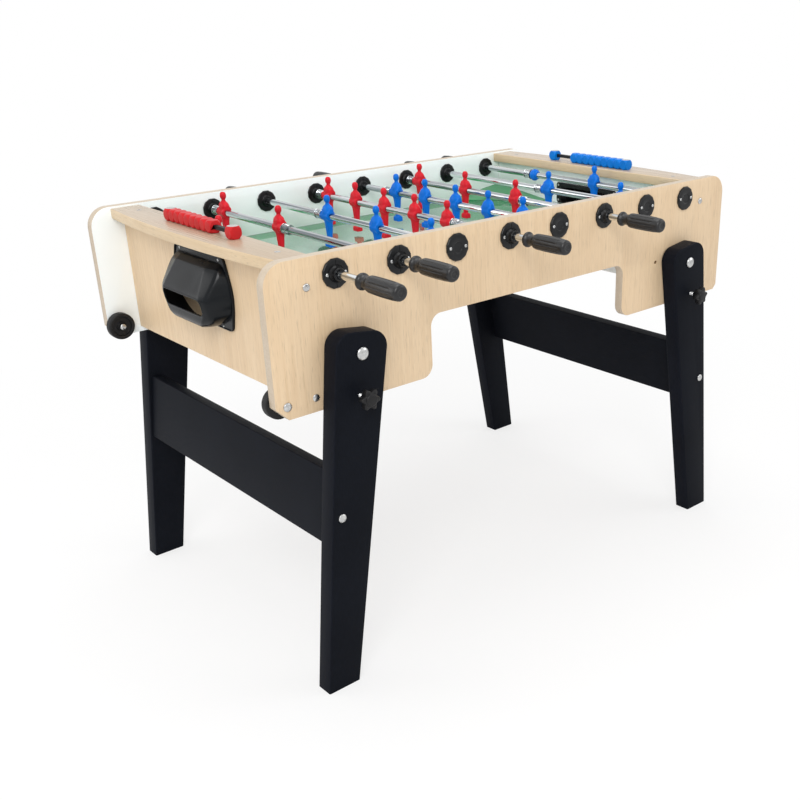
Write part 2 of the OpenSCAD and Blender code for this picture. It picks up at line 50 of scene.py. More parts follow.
class Wire:
    """One output of a shader node. Sums and products of wires become Math nodes."""

    def __init__(self, finish, socket):
        self.finish, self.socket = finish, socket

    def math(self, operation, *values):
        return self.finish.node("Math", {"operation": operation}, dict(enumerate(values)))

    def __add__(self, other):
        return self.math("ADD", self, other)

    def __sub__(self, other):
        return self.math("SUBTRACT", self, other)

    def __rsub__(self, other):
        return self.math("SUBTRACT", other, self)

    def __mul__(self, other):
        return self.math("MULTIPLY", self, other)

    def __gt__(self, other):
        return self.math("GREATER_THAN", self, other)

    def __lt__(self, other):
        return self.math("LESS_THAN", self, other)

    def __abs__(self):
        return self.math("ABSOLUTE", self)

    __radd__, __rmul__ = __add__, __mul__

    def between(self, low, high):
        """0 at low, 1 at high, and held outside them."""
        return self.finish.node("MapRange", {"clamp": True}, {0: self, 1: low, 2: high})


class Finish:
    """A material whose Principled shader takes plain numbers and wires."""

    def __init__(self, name, **constants):
        self.material = bpy.data.materials.new(name)
        self.material.use_nodes = True
        self.tree = self.material.node_tree
        self.shader = self.tree.nodes["Principled BSDF"]
        for key, value in constants.items():
            self.shader.inputs[key.replace("_", " ")].default_value = value

    def node(self, kind, settings=None, sockets=None, out=0):
        made = self.tree.nodes.new("ShaderNode" + kind)
        for key, value in (settings or {}).items():
            setattr(made, key, value)
        for key, value in (sockets or {}).items():
            if isinstance(value, Wire):
                self.tree.links.new(value.socket, made.inputs[key])
            else:
                made.inputs[key].default_value = value
        return Wire(self, made.outputs[out])

    def place(self):
        return self.node("TexCoord", out="Object")

    def noise(self, stretch, detail=2.0):
        """Noise from about 0.3 to 0.7, stretch cycles a metre along X, Y and Z."""
        spots = self.node("Mapping", {}, {"Vector": self.place(), "Scale": stretch})
        return self.node("TexNoise", {}, {"Vector": spots, "Scale": 1.0, "Detail": detail})

    def cloud(self, cycles, detail=2.0):
        """Soft blotches from 0 to 1, that many cycles a metre every way."""
        return self.noise((cycles, cycles, cycles), detail).between(0.3, 0.7)

    def mix(self, share, a, b):
        return self.node("Mix", {"data_type": "RGBA"}, {0: share, 6: a, 7: b}, out=2)

    def bump(self, height, depth, strength=1.0):
        return self.node("Bump", {}, {"Height": height, "Distance": depth, "Strength": strength})

    def wear(self, **wires):
        """Feeds wires into the shader and gives the finished material."""
        for key, wire in wires.items():
            self.tree.links.new(wire.socket, self.shader.inputs[key.replace("_", " ")])
        return self.material


def srgb(*levels):
    """A colour given as it looks, 0 to 255, as the shader wants it."""
    return (*(((v / 255 + 0.055) / 1.055) ** 2.4 for v in levels), 1.0)


def studio_floor():
    f = Finish("studio_white")
    ray = f.node("LightPath", out="Is Camera Ray")
    glow = f.node("Emission", {}, {"Color": (1, 1, 1, 1), "Strength": 1.0})
    paint = f.node("BsdfDiffuse", {}, {"Color": (0.93, 0.93, 0.93, 1)})
    away = f.node("VectorMath", {"operation": "LENGTH"}, {0: f.place()}, out="Value")
    share = away.between(0.9, 2.2) * 0.3 + 0.7
    mixed = f.node("MixShader", {}, {0: ray * share, 1: paint, 2: glow})
    f.tree.nodes.remove(f.shader)
    f.tree.links.new(mixed.socket, f.tree.nodes["Material Output"].inputs["Surface"])
    return f.material


def rectangle(u0, v0, u1, v1):
    return [(u0, v0), (u1, v0), (u1, v1), (u0, v1)]


def placed(name, data):
    """A new object in the scene."""
    thing = bpy.data.objects.new(name, data)
    bpy.context.collection.objects.link(thing)
    return thing


FLOOR_REACH = 30
floor_mesh = bpy.data.meshes.new("studio_floor")
corners = rectangle(-FLOOR_REACH, -FLOOR_REACH, FLOOR_REACH, FLOOR_REACH)
floor_mesh.from_pydata([(x, y, 0) for x, y in corners], [], [(0, 1, 2, 3)])
floor_mesh.materials.append(studio_floor())
floor = placed("studio_floor", floor_mesh)

# The surround is white to the eye and in mirrors, and dimmer as a light
SURROUND_LIGHT = 0.56
world = bpy.data.worlds.new("surround")
bpy.context.scene.world = world
world.use_nodes = True
sky = world.node_tree
rays = sky.nodes.new("ShaderNodeLightPath")
seen = sky.nodes.new("ShaderNodeMath")
seen.operation = "MAXIMUM"
sky.links.new(rays.outputs["Is Camera Ray"], seen.inputs[0])
mirrored = sky.nodes.new("ShaderNodeMath")
mirrored.operation = "MAXIMUM"
sky.links.new(rays.outputs["Is Glossy Ray"], mirrored.inputs[0])
sky.links.new(rays.outputs["Is Transmission Ray"], mirrored.inputs[1])
sky.links.new(mirrored.outputs[0], seen.inputs[1])
level = sky.nodes.new("ShaderNodeMapRange")
level.inputs["To Min"].default_value = SURROUND_LIGHT
level.inputs["To Max"].default_value = 1.0
sky.links.new(seen.outputs[0], level.inputs["Value"])
sky.links.new(level.outputs[0], sky.nodes["Background"].inputs["Strength"])
sky.nodes["Background"].inputs["Color"].default_value = (1, 1, 1, 1)

for name, spot, aim, size, watts in (
    ("key_lamp", (-3.4, -3.6, 4.2), (0, 0, 0.7), 2.6, 160),
    ("fill_lamp", (4.2, -3.8, 3.0), (0, 0, 0.7), 3.0, 60),
    ("top_lamp", (0.2, 0.6, 5.2), (0, 0, 0.8), 3.0, 85),
    ("end_lamp", (-3.6, 2.8, 1.9), (-0.6, 0, 0.8), 2.2, 26),
):
    lamp = placed(name, bpy.data.lights.new(name, "AREA"))
    lamp.data.size, lamp.data.energy = size, watts
    lamp.location = spot
    lamp.rotation_euler = (Vector(aim) - Vector(spot)).to_track_quat("-Z", "Y").to_euler()

EYE = (-1.5472, -1.9451, 1.3311)
turn, drop, roll = (math.radians(angle) for angle in (42.3843, -23.7956, -0.7996))
ahead = Vector((math.sin(turn) * math.cos(drop), math.cos(turn) * math.cos(drop), math.sin(drop)))
level_right = Vector((math.cos(turn), -math.sin(turn), 0))
level_up = level_right.cross(ahead)
right = level_right * math.cos(roll) + level_up * math.sin(roll)
up = level_up * math.cos(roll) - level_right * math.sin(roll)
camera = placed("camera", bpy.data.cameras.new("camera"))
camera.matrix_world = (
    Matrix.Translation(EYE) @ Matrix((right, up, -ahead)).transposed().to_4x4()
)
camera.data.sensor_width, camera.data.lens = 36, 45.9181
camera.data.shift_x, camera.data.shift_y = -0.12227, 0.05572
camera.data.clip_end = 100
bpy.context.scene.camera = camera
bpy.context.scene.view_settings.view_transform = "Standard"

# ---------------------------------------------------------------- side panels
# Chipboard with beech laminate outside, white laminate inside and a beech edge
# band all round. Bored for the bearings, the bolts and the studs of the knobs.

OUTER, INNER = 0.378, 0.356
RIM = 0.905
ROD_Z, ROD_PITCH = 0.865, 0.148
PIVOT, FOOT_X = (0.499, 0.715), 0.601
LEAN = math.atan2(FOOT_X - PIVOT[0], PIVOT[1])
KNOB_FROM_PIVOT = 0.082


def arc(x, z, r, start, end, steps=10):
    angles = np.radians(np.linspace(start, end, steps + 1))
    return [(x + r * math.cos(a), z + r * math.sin(a)) for a in angles]


def add_prism(bm, outline, plane, low, high, edge=0.0, steps=2):
    """A board with that outline in plane "xz", "yz" or "xy", its edges rounded by edge."""
    lay = {
        "xz": lambda u, v, t: (u, t, v),
        "yz": lambda u, v, t: (t, u, v),
        "xy": lambda u, v, t: (u, v, t),
    }[plane]
    rings = [[bm.verts.new(lay(u, v, t)) for u, v in outline] for t in (low, high)]
    caps = [bm.faces.new(rings[0]), bm.faces.new(rings[1])]
    sides = []
    for i in range(len(outline)):
        j = (i + 1) % len(outline)
        sides.append(bm.faces.new((rings[0][i], rings[0][j], rings[1][j], rings[1][i])))
    bmesh.ops.recalc_face_normals(bm, faces=caps + sides)
    if edge:
        rims = list({e for face in caps for e in face.edges})
        bmesh.ops.bevel(
            bm, geom=rims, offset=edge, segments=steps, profile=0.5, affect="EDGES"
        )
    return bm


def add_turned(bm, profile, spot=(0, 0, 0), axis=(0, 0, 1), steps=40, wave=None):
    """A turned shape. profile lists (radius, height); wave changes the radius at an angle."""
    rings, made = [], []
    for r, h in profile:
        if r < 1e-6:
            rings.append([bm.verts.new((0, 0, h))])
            continue
        ring = []
        for i in range(steps):
            a = 2 * math.pi * i / steps
            rr = wave(r, h, a) if wave else r
            ring.append(bm.verts.new((rr * math.cos(a), rr * math.sin(a), h)))
        rings.append(ring)
    for lower, upper in zip(rings, rings[1:]):
        if len(lower) == 1 and len(upper) == 1:
            continue
        for i in range(steps):
            j = (i + 1) % steps
            if len(lower) == 1:
                made.append(bm.faces.new((lower[0], upper[j], upper[i])))
            elif len(upper) == 1:
                made.append(bm.faces.new((lower[i], lower[j], upper[0])))
            else:
                made.append(bm.faces.new((lower[i], lower[j], upper[j], upper[i])))
    move = Matrix.Translation(spot) @ Vector(axis).to_track_quat("Z", "Y").to_matrix().to_4x4()
    bmesh.ops.transform(bm, matrix=move, verts=[v for ring in rings for v in ring])
    if len(rings[0]) > 1 and profile[0] == profile[-1]:
        bmesh.ops.remove_doubles(bm, verts=rings[0] + rings[-1], dist=1e-7)
    bmesh.ops.recalc_face_normals(bm, faces=[f for f in made if f.is_valid])
    return bm


def add_bar(bm, spot, axis, radius, length, steps=32):
    return add_turned(bm, [(0, 0), (radius, 0), (radius, length), (0, length)], spot, axis, steps)


def as_mesh(name, bm):
    """A bmesh as a mesh; the bmesh is used up."""
    mesh = bpy.data.meshes.new(name)
    bm.to_mesh(mesh)
    bm.free()
    return mesh


def evaluated(bm, *modifiers):
    """The bmesh that a stack of (kind, settings) modifiers makes of another."""
    work = placed("work", as_mesh("work", bm))
    for kind, settings in modifiers:
        modifier = work.modifiers.new(kind, kind)
        for key, value in settings.items():
            setattr(modifier, key, value)
    graph = bpy.context.evaluated_depsgraph_get()
    result = bpy.data.meshes.new_from_object(work.evaluated_get(graph))
    bpy.data.objects.remove(work)
    made = bmesh.new()
    made.from_mesh(result)
    bpy.data.meshes.remove(result)
    return made


def carved(solid, cutter, operation="DIFFERENCE"):
    """One bmesh cut by, or limited to, another."""
    tool = placed("cutter", as_mesh("cutter", cutter))
    settings = {"operation": operation, "object": tool, "solver": "EXACT"}
    result = evaluated(solid, ("BOOLEAN", settings))
    bpy.data.objects.remove(tool)
    return result


def adopt(name, mesh, finishes, body, *nodes, sharp=32):
    """Makes a finished mesh a piece that rides on a body and stands for CAD nodes."""
    if not mesh.materials:
        for finish in finishes:
            mesh.materials.append(finish)
    mesh.shade_smooth()
    mesh.set_sharp_from_angle(angle=math.radians(sharp))
    piece = placed(name, mesh)
    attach(piece, body)
    if nodes:
        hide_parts(*nodes)


def finished(name, bm, finishes, body, *nodes, sharp=32, paint=None):
    """adopt() for a bmesh; paint gives each face the number of its finish."""
    for face in bm.faces:
        face.material_index = paint(face) if paint else 0
    adopt(name, as_mesh(name, bm), finishes, body, *nodes, sharp=sharp)


def beech(name, light, dark, along, rough=0.44):
    """Printed beech: soft bands, fine streaks and short dark pores along one axis."""
    f = Finish(name)

    def grain(across, down, detail):
        stretch = [across] * 3
        stretch["xyz".index(along)] = down
        return f.noise(stretch, detail)

    band = grain(16, 0.9, 2.0).between(0.34, 0.68)
    streak = grain(230, 5, 3.0).between(0.3, 0.72)
    pores = grain(760, 34, 1.0).between(0.6, 0.72)
    shade = band * 0.34 + streak * 0.5
    tone = f.mix(shade, srgb(*light), srgb(*dark))
    tone = f.mix(pores * 0.34, tone, srgb(*(v * 0.74 for v in dark)))
    gloss = streak * 0.08 + (rough - 0.04)
    return f.wear(Base_Color=tone, Roughness=gloss, Normal=f.bump(pores, -0.00008, 0.5))


def white_laminate():
    f = Finish("white_laminate")
    cloud = f.cloud(9)
    pimple = f.noise((900, 900, 900), 1.0)
    tone = f.mix(cloud, srgb(250, 255, 255), srgb(246, 252, 252))
    return f.wear(
        Base_Color=tone, Roughness=cloud * 0.06 + 0.36, Normal=f.bump(pimple, 0.00006, 0.35)
    )


def raw_chipboard():
    f = Finish("raw_chipboard", Roughness=0.9)
    chips = f.noise((420, 420, 420), 3.0).between(0.35, 0.65)
    tone = f.mix(chips, srgb(122, 92, 60), srgb(176, 142, 98))
    return f.wear(Base_Color=tone, Normal=f.bump(chips, 0.0004))


beech_upright = beech("beech_upright", (227, 202, 168), (210, 180, 142), "z")
# Edge band: its beech tone carries a grey-brown cast that is painted sky reflection, as seen on the
# top rims, and is put on every edge face.
beech_edge = beech("beech_edge", (202, 187, 167), (186, 168, 144), "x", 0.38)
white = white_laminate()
chipboard = raw_chipboard()


def side_outline():
    """A board with cut lower corners, rounded upper ones and a notch below."""
    left, right, low, top, half = 0.670, 0.676, 0.607, 0.738, 0.296
    big_cut, small_cut = 0.027, 0.012
    rim_r, notch_r, foot_r = 0.045, 0.026, 0.027
    return (
        [(-left, low + big_cut), (-left + big_cut, low)]
        + arc(-half - foot_r, low + foot_r, foot_r, -90, 0)
        + arc(-half + notch_r, top - notch_r, notch_r, 180, 90)
        + arc(half - notch_r, top - notch_r, notch_r, 90, 0)
        + arc(half + foot_r, low + foot_r, foot_r, 180, 270)
        + [(right - small_cut, low), (right, low + small_cut)]
        + arc(right - rim_r, RIM - rim_r, rim_r, 0, 90, 16)
        + arc(-left + rim_r, RIM - rim_r, rim_r, 90, 180, 16)
    )


def knob_holes():
    """Places in X and Z of the holes that hold the frames up and folded."""
    places = []
    for end, folded in ((-1, math.radians(-6)), (1, math.radians(5))):
        r = KNOB_FROM_PIVOT
        places.append((end * (PIVOT[0] + r * math.sin(LEAN)), PIVOT[1] - r * math.cos(LEAN)))
        places.append((end * (PIVOT[0] - r * math.cos(folded)), PIVOT[1] + r * math.sin(folded)))
    return places


ROD_X = [(k - 3.5) * ROD_PITCH for k in range(8)]
PANEL_BOLTS = [(x, z) for x in (-0.582, 0.582) for z in (0.636, 0.850)]
WHEEL_AXLE = (-0.645, 0.634)


def side_panel(name, node, side):
    low, high = sorted((side * OUTER, side * INNER))
    board = add_prism(bmesh.new(), side_outline(), "xz", low, high, 0.0012)
    through = 0.05
    holes = [(x, ROD_Z, 0.014, through) for x in ROD_X]
    holes += [(x, z, 0.0041, 0.015) for x, z in knob_holes()]
    holes += [(x, z, 0.0031, through) for x, z in PANEL_BOLTS]
    holes += [(end * PIVOT[0], PIVOT[1], 0.00505, through) for end in (-1, 1)]
    holes += [(*WHEEL_AXLE, 0.00405, through)]
    drill = bmesh.new()
    for x, z, r, depth in holes:
        add_bar(drill, (x, side * (OUTER + 0.005), z), (0, -side, 0), r, depth + 0.005)
    board = carved(board, drill)

    def paint(face):
        if abs(face.normal.y) > 0.8:
            return 0 if face.normal.y * side > 0 else 1
        at = face.calc_center_median()
        inside = any(math.hypot(at.x - x, at.z - z) < r + 0.0005 for x, z, r, _ in holes)
        return 3 if inside else 2

    finishes = [beech_upright, white, beech_edge, chipboard]
    finished(name, board, finishes, "cabinet", node, paint=paint)


side_panel("near_side_panel", "front_panel", -1)
side_panel("far_side_panel", "rear_panel", 1)

# ---------------------------------------------------------------- end panels
# The same board at both ends between the side panels, beech outside and white
# inside, with a rounded mouth cut for the goal.


def rounded_box(half, low, high, r, steps=8):
    return (
        arc(half - r, low + r, r, -90, 0, steps)
        + arc(half - r, high - r, r, 0, 90, steps)
        + arc(-half + r, high - r, r, 90, 180, steps)
        + arc(-half + r, low + r, r, 180, 270, steps)
    )


END_IN, END_OUT, END_LOW = 0.571, 0.593, 0.620
BOARD_LOW = 0.878
FIELD, GOAL_HALF, GOAL_TOP = 0.787, 0.095, 0.830
ends = bmesh.new()
mouths = bmesh.new()
outline = rectangle(-INNER, END_LOW, INNER, BOARD_LOW)
for end in (-1, 1):
    low, high = sorted((end * END_IN, end * END_OUT))
    add_prism(ends, outline, "yz", low, high, 0.0006, 1)
    mouth = rounded_box(GOAL_HALF + 0.0022, FIELD, GOAL_TOP + 0.0042, 0.010)
    add_prism(mouths, mouth, "yz", low - 0.01, high + 0.01)
ends = carved(ends, mouths)


def paint_end(face):
    x = face.calc_center_median().x
    if abs(face.normal.x) > 0.8:
        return 0 if abs(x) > END_OUT - 0.001 else 1
    return 2


finished(
    "end_boards_upright", ends, [beech_upright, white, beech_edge], "cabinet", "end_panels",
    paint=paint_end,
)

# ---------------------------------------------------------------- end boards
# Flat boards on top of the end panels, bowed outwards, with softly rounded
# edges. Their grain runs across the table.

# The flat faces of the boards get a greyer, darker copy of the beech: its grey is painted sky
# reflection. The sides keep the plain beech.
beech_top = beech("beech_top", (191, 173, 150), (175, 155, 131), "y", 0.30)
beech_lip = beech("beech_lip", (220, 197, 163), (202, 176, 139), "y", 0.42)
BOARD_TOP, BOARD_INNER = 0.901, 0.552
boards = bmesh.new()
reach, depth, half = 0.641, 0.021, INNER - 0.0003
bow = (INNER**2 + depth**2) / (2 * depth)
swing = math.degrees(math.asin(half / bow))
for end in (-1, 1):
    curve = arc(-reach + bow, 0, bow, 180 - swing, 180 + swing, 48)
    outline = [(-BOARD_INNER, -half), (-BOARD_INNER, half)] + curve
    outline = [(-end * x, -end * y) for x, y in outline]
    add_prism(boards, outline, "xy", BOARD_LOW, BOARD_TOP, 0.0025, 3)
finished(
    "bowed_end_boards", boards, [beech_top, beech_lip], "cabinet", "top_boards",
    paint=lambda face: 0 if abs(face.normal.z) > 0.8 else 1,
)

# ---------------------------------------------------------------- playing field
# A fibreboard panel in grooves carries a sheet of toughened glass, printed
# green from below. Moulded wedges lead the ball out of the corners.


def fibreboard():
    f = Finish("fibreboard", Roughness=0.8)
    fluff = f.cloud(60, 4.0)
    fibres = f.noise((700, 260, 700)).between(0.35, 0.65)
    tone = f.mix(fluff * 0.5 + fibres * 0.4, srgb(168, 134, 94), srgb(140, 106, 70))
    return f.wear(Base_Color=tone, Normal=f.bump(fibres, 0.0002, 0.5))


def printed_glass():
    """Turf with white lines and a green border, printed under polished glass."""
    f = Finish(
        "printed_glass", Roughness=0.12, Specular_IOR_Level=0.1, Coat_IOR=4.0, Coat_Roughness=0.012
    )
    split = f.node("SeparateXYZ", {}, {0: f.place()})
    along, across = abs(split), abs(Wire(f, split.socket.node.outputs[1]))
    half_line, area_x, area_y = 0.003, 0.43, 0.19
    border = (across > 0.292) * (1 - (across > 0.3545))
    ring = f.node("Math", {"operation": "SQRT"}, {0: along * along + across * across})
    circle = abs(ring - 0.105) < half_line
    halfway = along < half_line
    goal_line = (abs(along - area_x) < half_line) * (across < area_y)
    goal_side = (along > area_x) * (abs(across - area_y) < half_line)
    lines = (circle + halfway + goal_line + goal_side).between(0.0, 1.0)
    cloud = f.cloud(14)
    grass = f.mix(cloud, srgb(106, 156, 128), srgb(98, 149, 121))
    green = f.mix(cloud, srgb(52, 150, 92), srgb(44, 142, 86))
    tone = f.mix(border, f.mix(lines, grass, srgb(206, 220, 210)), green)
    return f.wear(Base_Color=tone, Coat_Weight=0.96 - border * 0.9)


def green_moulding():
    f = Finish("green_moulding", Roughness=0.32, Coat_Weight=0.4, Coat_Roughness=0.08)
    cloud = f.cloud(20)
    tone = f.mix(cloud, srgb(58, 148, 92), srgb(50, 138, 84))
    grain = f.noise((1200, 1200, 1200), 1.0)
    return f.wear(Base_Color=tone, Normal=f.bump(grain, 0.00004, 0.4))


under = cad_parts["playfield"]
under.data.materials.clear()
under.data.materials.append(fibreboard())
sheet = rectangle(-END_IN + 0.0005, -INNER + 0.0005, END_IN - 0.0005, INNER - 0.0005)
glass = add_prism(bmesh.new(), sheet, "xy", FIELD - 0.004, FIELD, 0.0008)
finished("field_glass_sheet", glass, [printed_glass()], "cabinet", "field_glass")

RAMP_X, RAMP_Y, RAMP_H, TOE_H = 0.190, 0.210, 0.026, 0.0008
ramps = bmesh.new()
for sx in (-1, 1):
    for sy in (-1, 1):
        x, y, base = END_IN - 0.0002, INNER - 0.0002, FIELD + 0.00005
        corner = (sx * x, sy * y)
        toes = [(sx * (x - RAMP_X), sy * y), (sx * x, sy * (y - RAMP_Y))]
        points = [(*corner, base), (*toes[0], base), (*toes[1], base), (*corner, base + RAMP_H)]
        points += [(*toe, base + TOE_H) for toe in toes]
        v = [ramps.verts.new(p) for p in points]
        for face in ((0, 1, 2), (3, 5, 4), (0, 3, 4, 1), (0, 2, 5, 3), (1, 4, 5, 2)):
            ramps.faces.new([v[i] for i in face])
bmesh.ops.recalc_face_normals(ramps, faces=ramps.faces)
finished("corner_wedges", ramps, [green_moulding()], "cabinet", "corner_ramps", sharp=10)

# ---------------------------------------------------------------- goal frames
# Black moulded frames: a flange on the inside of each end panel and a liner
# through the goal mouth.


def black_moulding(name="black_moulding", rough=0.34, grain=900, tone=(15, 16, 18), shine=0.3):
    f = Finish(name, Specular_IOR_Level=shine)
    smear = f.cloud(18, 3.0)
    skin = f.noise((grain, grain, grain))
    colour = f.mix(smear, srgb(*tone), srgb(*(v * 1.25 for v in tone)))
    return f.wear(
        Base_Color=colour, Roughness=smear * 0.12 + rough, Normal=f.bump(skin, 0.00006, 0.5)
    )


moulding = black_moulding()


def add_frame(bm, outer, inner, low, high):
    """A frame across X between two outlines of as many points each."""
    rings = [
        [bm.verts.new((x, y, z)) for y, z in outline]
        for outline, x in ((outer, low), (outer, high), (inner, high), (inner, low))
    ]
    made = []
    for a, b in zip(rings, rings[1:] + rings[:1]):
        for i in range(len(outer)):
            j = (i + 1) % len(outer)
            made.append(bm.faces.new((a[i], a[j], b[j], b[i])))
    bmesh.ops.recalc_face_normals(bm, faces=made)
    corners = [e for e in bm.edges if e.is_valid and all(f in made for f in e.link_faces)]
    crisp = [e for e in corners if e.calc_face_angle(0) > 1.2]
    bmesh.ops.bevel(bm, geom=crisp, offset=0.0006, segments=2, profile=0.5, affect="EDGES")


hole = rounded_box(GOAL_HALF, FIELD + 0.002, GOAL_TOP + 0.002, 0.009)
flange = rounded_box(GOAL_HALF + 0.016, FIELD + 0.0004, GOAL_TOP + 0.014, 0.008)
liner = rounded_box(GOAL_HALF + 0.002, FIELD + 0.0002, GOAL_TOP + 0.004, 0.010)
goals = bmesh.new()
for end in (-1, 1):
    for outline, inner, outer in (
        (flange, END_IN - 0.002, END_IN),
        (liner, END_IN - 0.0005, END_OUT),
    ):
        add_frame(goals, outline, hole, *sorted((end * inner, end * outer)))
finished("goal_mouth_frames", goals, [moulding], "cabinet", "goal_frames")

# ---------------------------------------------------------------- ball cups
# Blow-moulded black cups outside each end panel: a flange with a raised rim and
# four screws, a sloping hood, chamfered cheeks and a lipped mouth for the hand.


# Height, depth and half width of the front, depth and half width of the shoulder,
# and half width at the panel, in millimetres.
CUP_LEVELS = [
    (711.0, 0.6, 42, 0.3, 50, 51), (711.0, 22, 42, 18, 50, 52), (713.0, 38, 48, 27, 57, 62),
    (719.0, 47, 59, 34, 74, 78), (727.0, 50.5, 68, 38, 86, 91), (735.0, 51.0, 74, 41, 94, 101),
    (742.0, 50.3, 79, 43, 97, 109), (757.0, 52.6, 80.5, 46, 98, 115),
    (772.0, 55.2, 79.5, 48, 97, 117.5), (780.0, 56.8, 76, 49, 95.5, 117.8),
    (787.0, 53.4, 73, 46, 96, 117), (808.0, 41.5, 68, 33, 98.5, 114),
    (824.0, 32.5, 64, 23, 99.5, 108), (835.5, 25.8, 61, 16, 97, 101),
    (840.5, 18.5, 61, 11, 92, 96), (847.0, 9.0, 62, 6, 84, 89), (847.0, 0.6, 62, 0.3, 84, 88),
]


def both(half):
    """A right half outline with its mirror image."""
    return half + [(-y, z) for y, z in reversed(half)]


def flange_outline(inset):
    """Waisted plate with rounded corners, drawn in by inset."""
    low = arc(0.099, 0.722, 0.014 - inset, -90, -10, 8)
    swell = [(0.1170, 0.7360), (0.1210, 0.7520), (0.1240, 0.7780)]
    swell += [(0.1220, 0.7960), (0.1180, 0.8120)]
    high = arc(0.094, 0.848, 0.012 - inset, 15, 90, 8)
    return both(low + [(y - inset, z) for y, z in swell] + high)


def cup_base():
    """Where the cup meets its flange."""
    return both([(b / 1000, z / 1000) for z, _, _, _, _, b in CUP_LEVELS[1:-1]])


def add_tube(bm, path, radius, steps=10):
    """A round bead along a closed path."""
    rings = []
    for i, at in enumerate(path):
        along = (Vector(path[(i + 1) % len(path)]) - Vector(path[i - 1])).normalized()
        across = along.cross(Vector((1, 0, 0))).normalized()
        out = along.cross(across)
        ring = []
        for a in np.linspace(0, 2 * math.pi, steps, endpoint=False):
            point = Vector(at) + (across * math.cos(a) + out * math.sin(a)) * radius
            ring.append(bm.verts.new(point))
        rings.append(ring)
    made = []
    for a, b in zip(rings, rings[1:] + rings[:1]):
        for i in range(steps):
            j = (i + 1) % steps
            made.append(bm.faces.new((a[i], a[j], b[j], b[i])))
    bmesh.ops.recalc_face_normals(bm, faces=made)


def rounded_corner(before, corner, after, radius, steps=6):
    """Points of a curve that rounds one corner of a path."""
    corner = Vector(corner)
    a = corner + (Vector(before) - corner).normalized() * radius
    b = corner + (Vector(after) - corner).normalized() * radius
    at = [i / (steps - 1) for i in range(steps)]
    return [a * (1 - t) ** 2 + corner * 2 * t * (1 - t) + b * t * t for t in at]


def cup_body():
    """One cup with its flange, its back on X = 0."""
    # Even steps round the section, smoothed so that the folds come out soft
    rows = np.array(CUP_LEVELS) / 1000
    run = np.concatenate(([0], np.cumsum(np.hypot(np.diff(rows[:, 0]), np.diff(rows[:, 1])))))
    spread = np.linspace(0, run[-1], 66)
    rows = np.stack([np.interp(spread, run, rows[:, c]) for c in range(6)], axis=1)
    for _ in range(3):
        rows[1:-1] = rows[:-2] * 0.25 + rows[1:-1] * 0.5 + rows[2:] * 0.25

    # The wall, open at its back
    body = bmesh.new()
    rings = []
    for z, deep, front, back, shoulder, base in rows:
        path = [(0.0, base), (back, shoulder), (deep, front), (deep, 0.0)]
        bend = min(0.008, back * 0.45)
        half = [Vector(path[0])]
        half += rounded_corner(*path[:3], bend) + rounded_corner(*path[1:], min(0.0035, back * 0.3))
        ring = [(q.x, q.y, z) for q in half] + [(q.x, -q.y, z) for q in reversed(half)]
        rings.append([body.verts.new(co) for co in ring])
    for a, b in zip(rings, rings[1:]):
        for i in range(len(a) - 1):
            body.faces.new((a[i], a[i + 1], b[i + 1], b[i]))
    bmesh.ops.recalc_face_normals(body, faces=body.faces)
    middle = max(body.faces, key=lambda f: f.calc_center_median().x)
    if middle.normal.x < 0:
        bmesh.ops.reverse_faces(body, faces=body.faces)
    surface = BVHTree.FromBMesh(body)
    body = evaluated(body, ("SOLIDIFY", {"thickness": 0.0030, "offset": -1, "use_rim": True}))

    # The mouth, with a bead laid round it on the outside of the wall
    mouth = both(arc(0.0665, 0.7565, 0.0145, -90, 0, 8) + arc(0.0690, 0.7670, 0.0120, 0, 90, 7))
    body = carved(body, add_prism(bmesh.new(), mouth, "yz", 0.030, 0.080))
    rim = []
    for y, z in mouth:
        hit = surface.ray_cast(Vector((0.2, y, z)), Vector((-1, 0, 0)))[0]
        rim.append((hit.x - 0.0012, y, z))
    add_tube(body, rim, 0.0017)

    # The flange, open behind the cup, and its raised rim
    flange = add_prism(bmesh.new(), flange_outline(0), "yz", 0.0, 0.004, 0.0007, 2)
    inside = [(y * 0.97, 0.779 + (z - 0.779) * 0.96) for y, z in cup_base()]
    flange = carved(flange, add_prism(bmesh.new(), inside, "yz", -0.01, 0.01))
    add_frame(flange, flange_outline(0.0005), flange_outline(0.0028), 0.0034, 0.0058)
    body.from_mesh(as_mesh("flange", flange))
    return body


cup = as_mesh("cup", cup_body())
cups = bmesh.new()
cup.transform(Matrix.Translation((END_OUT, 0, 0)))
cups.from_mesh(cup)
cup.transform(Matrix.Rotation(math.pi, 4, "Z"))
cups.from_mesh(cup)
glossy_moulding = black_moulding("cup_moulding", 0.18, 700, (7, 11, 15), 0.22)
finished("moulded_ball_cups", cups, [glossy_moulding], "cabinet", "ball_cups", sharp=50)

# ---------------------------------------------------------------- rod bearings
# Twelve-sided black plastic discs in two halves, screwed to both faces of the
# panels. The grip side has a nose round the tube, the other side is closed.


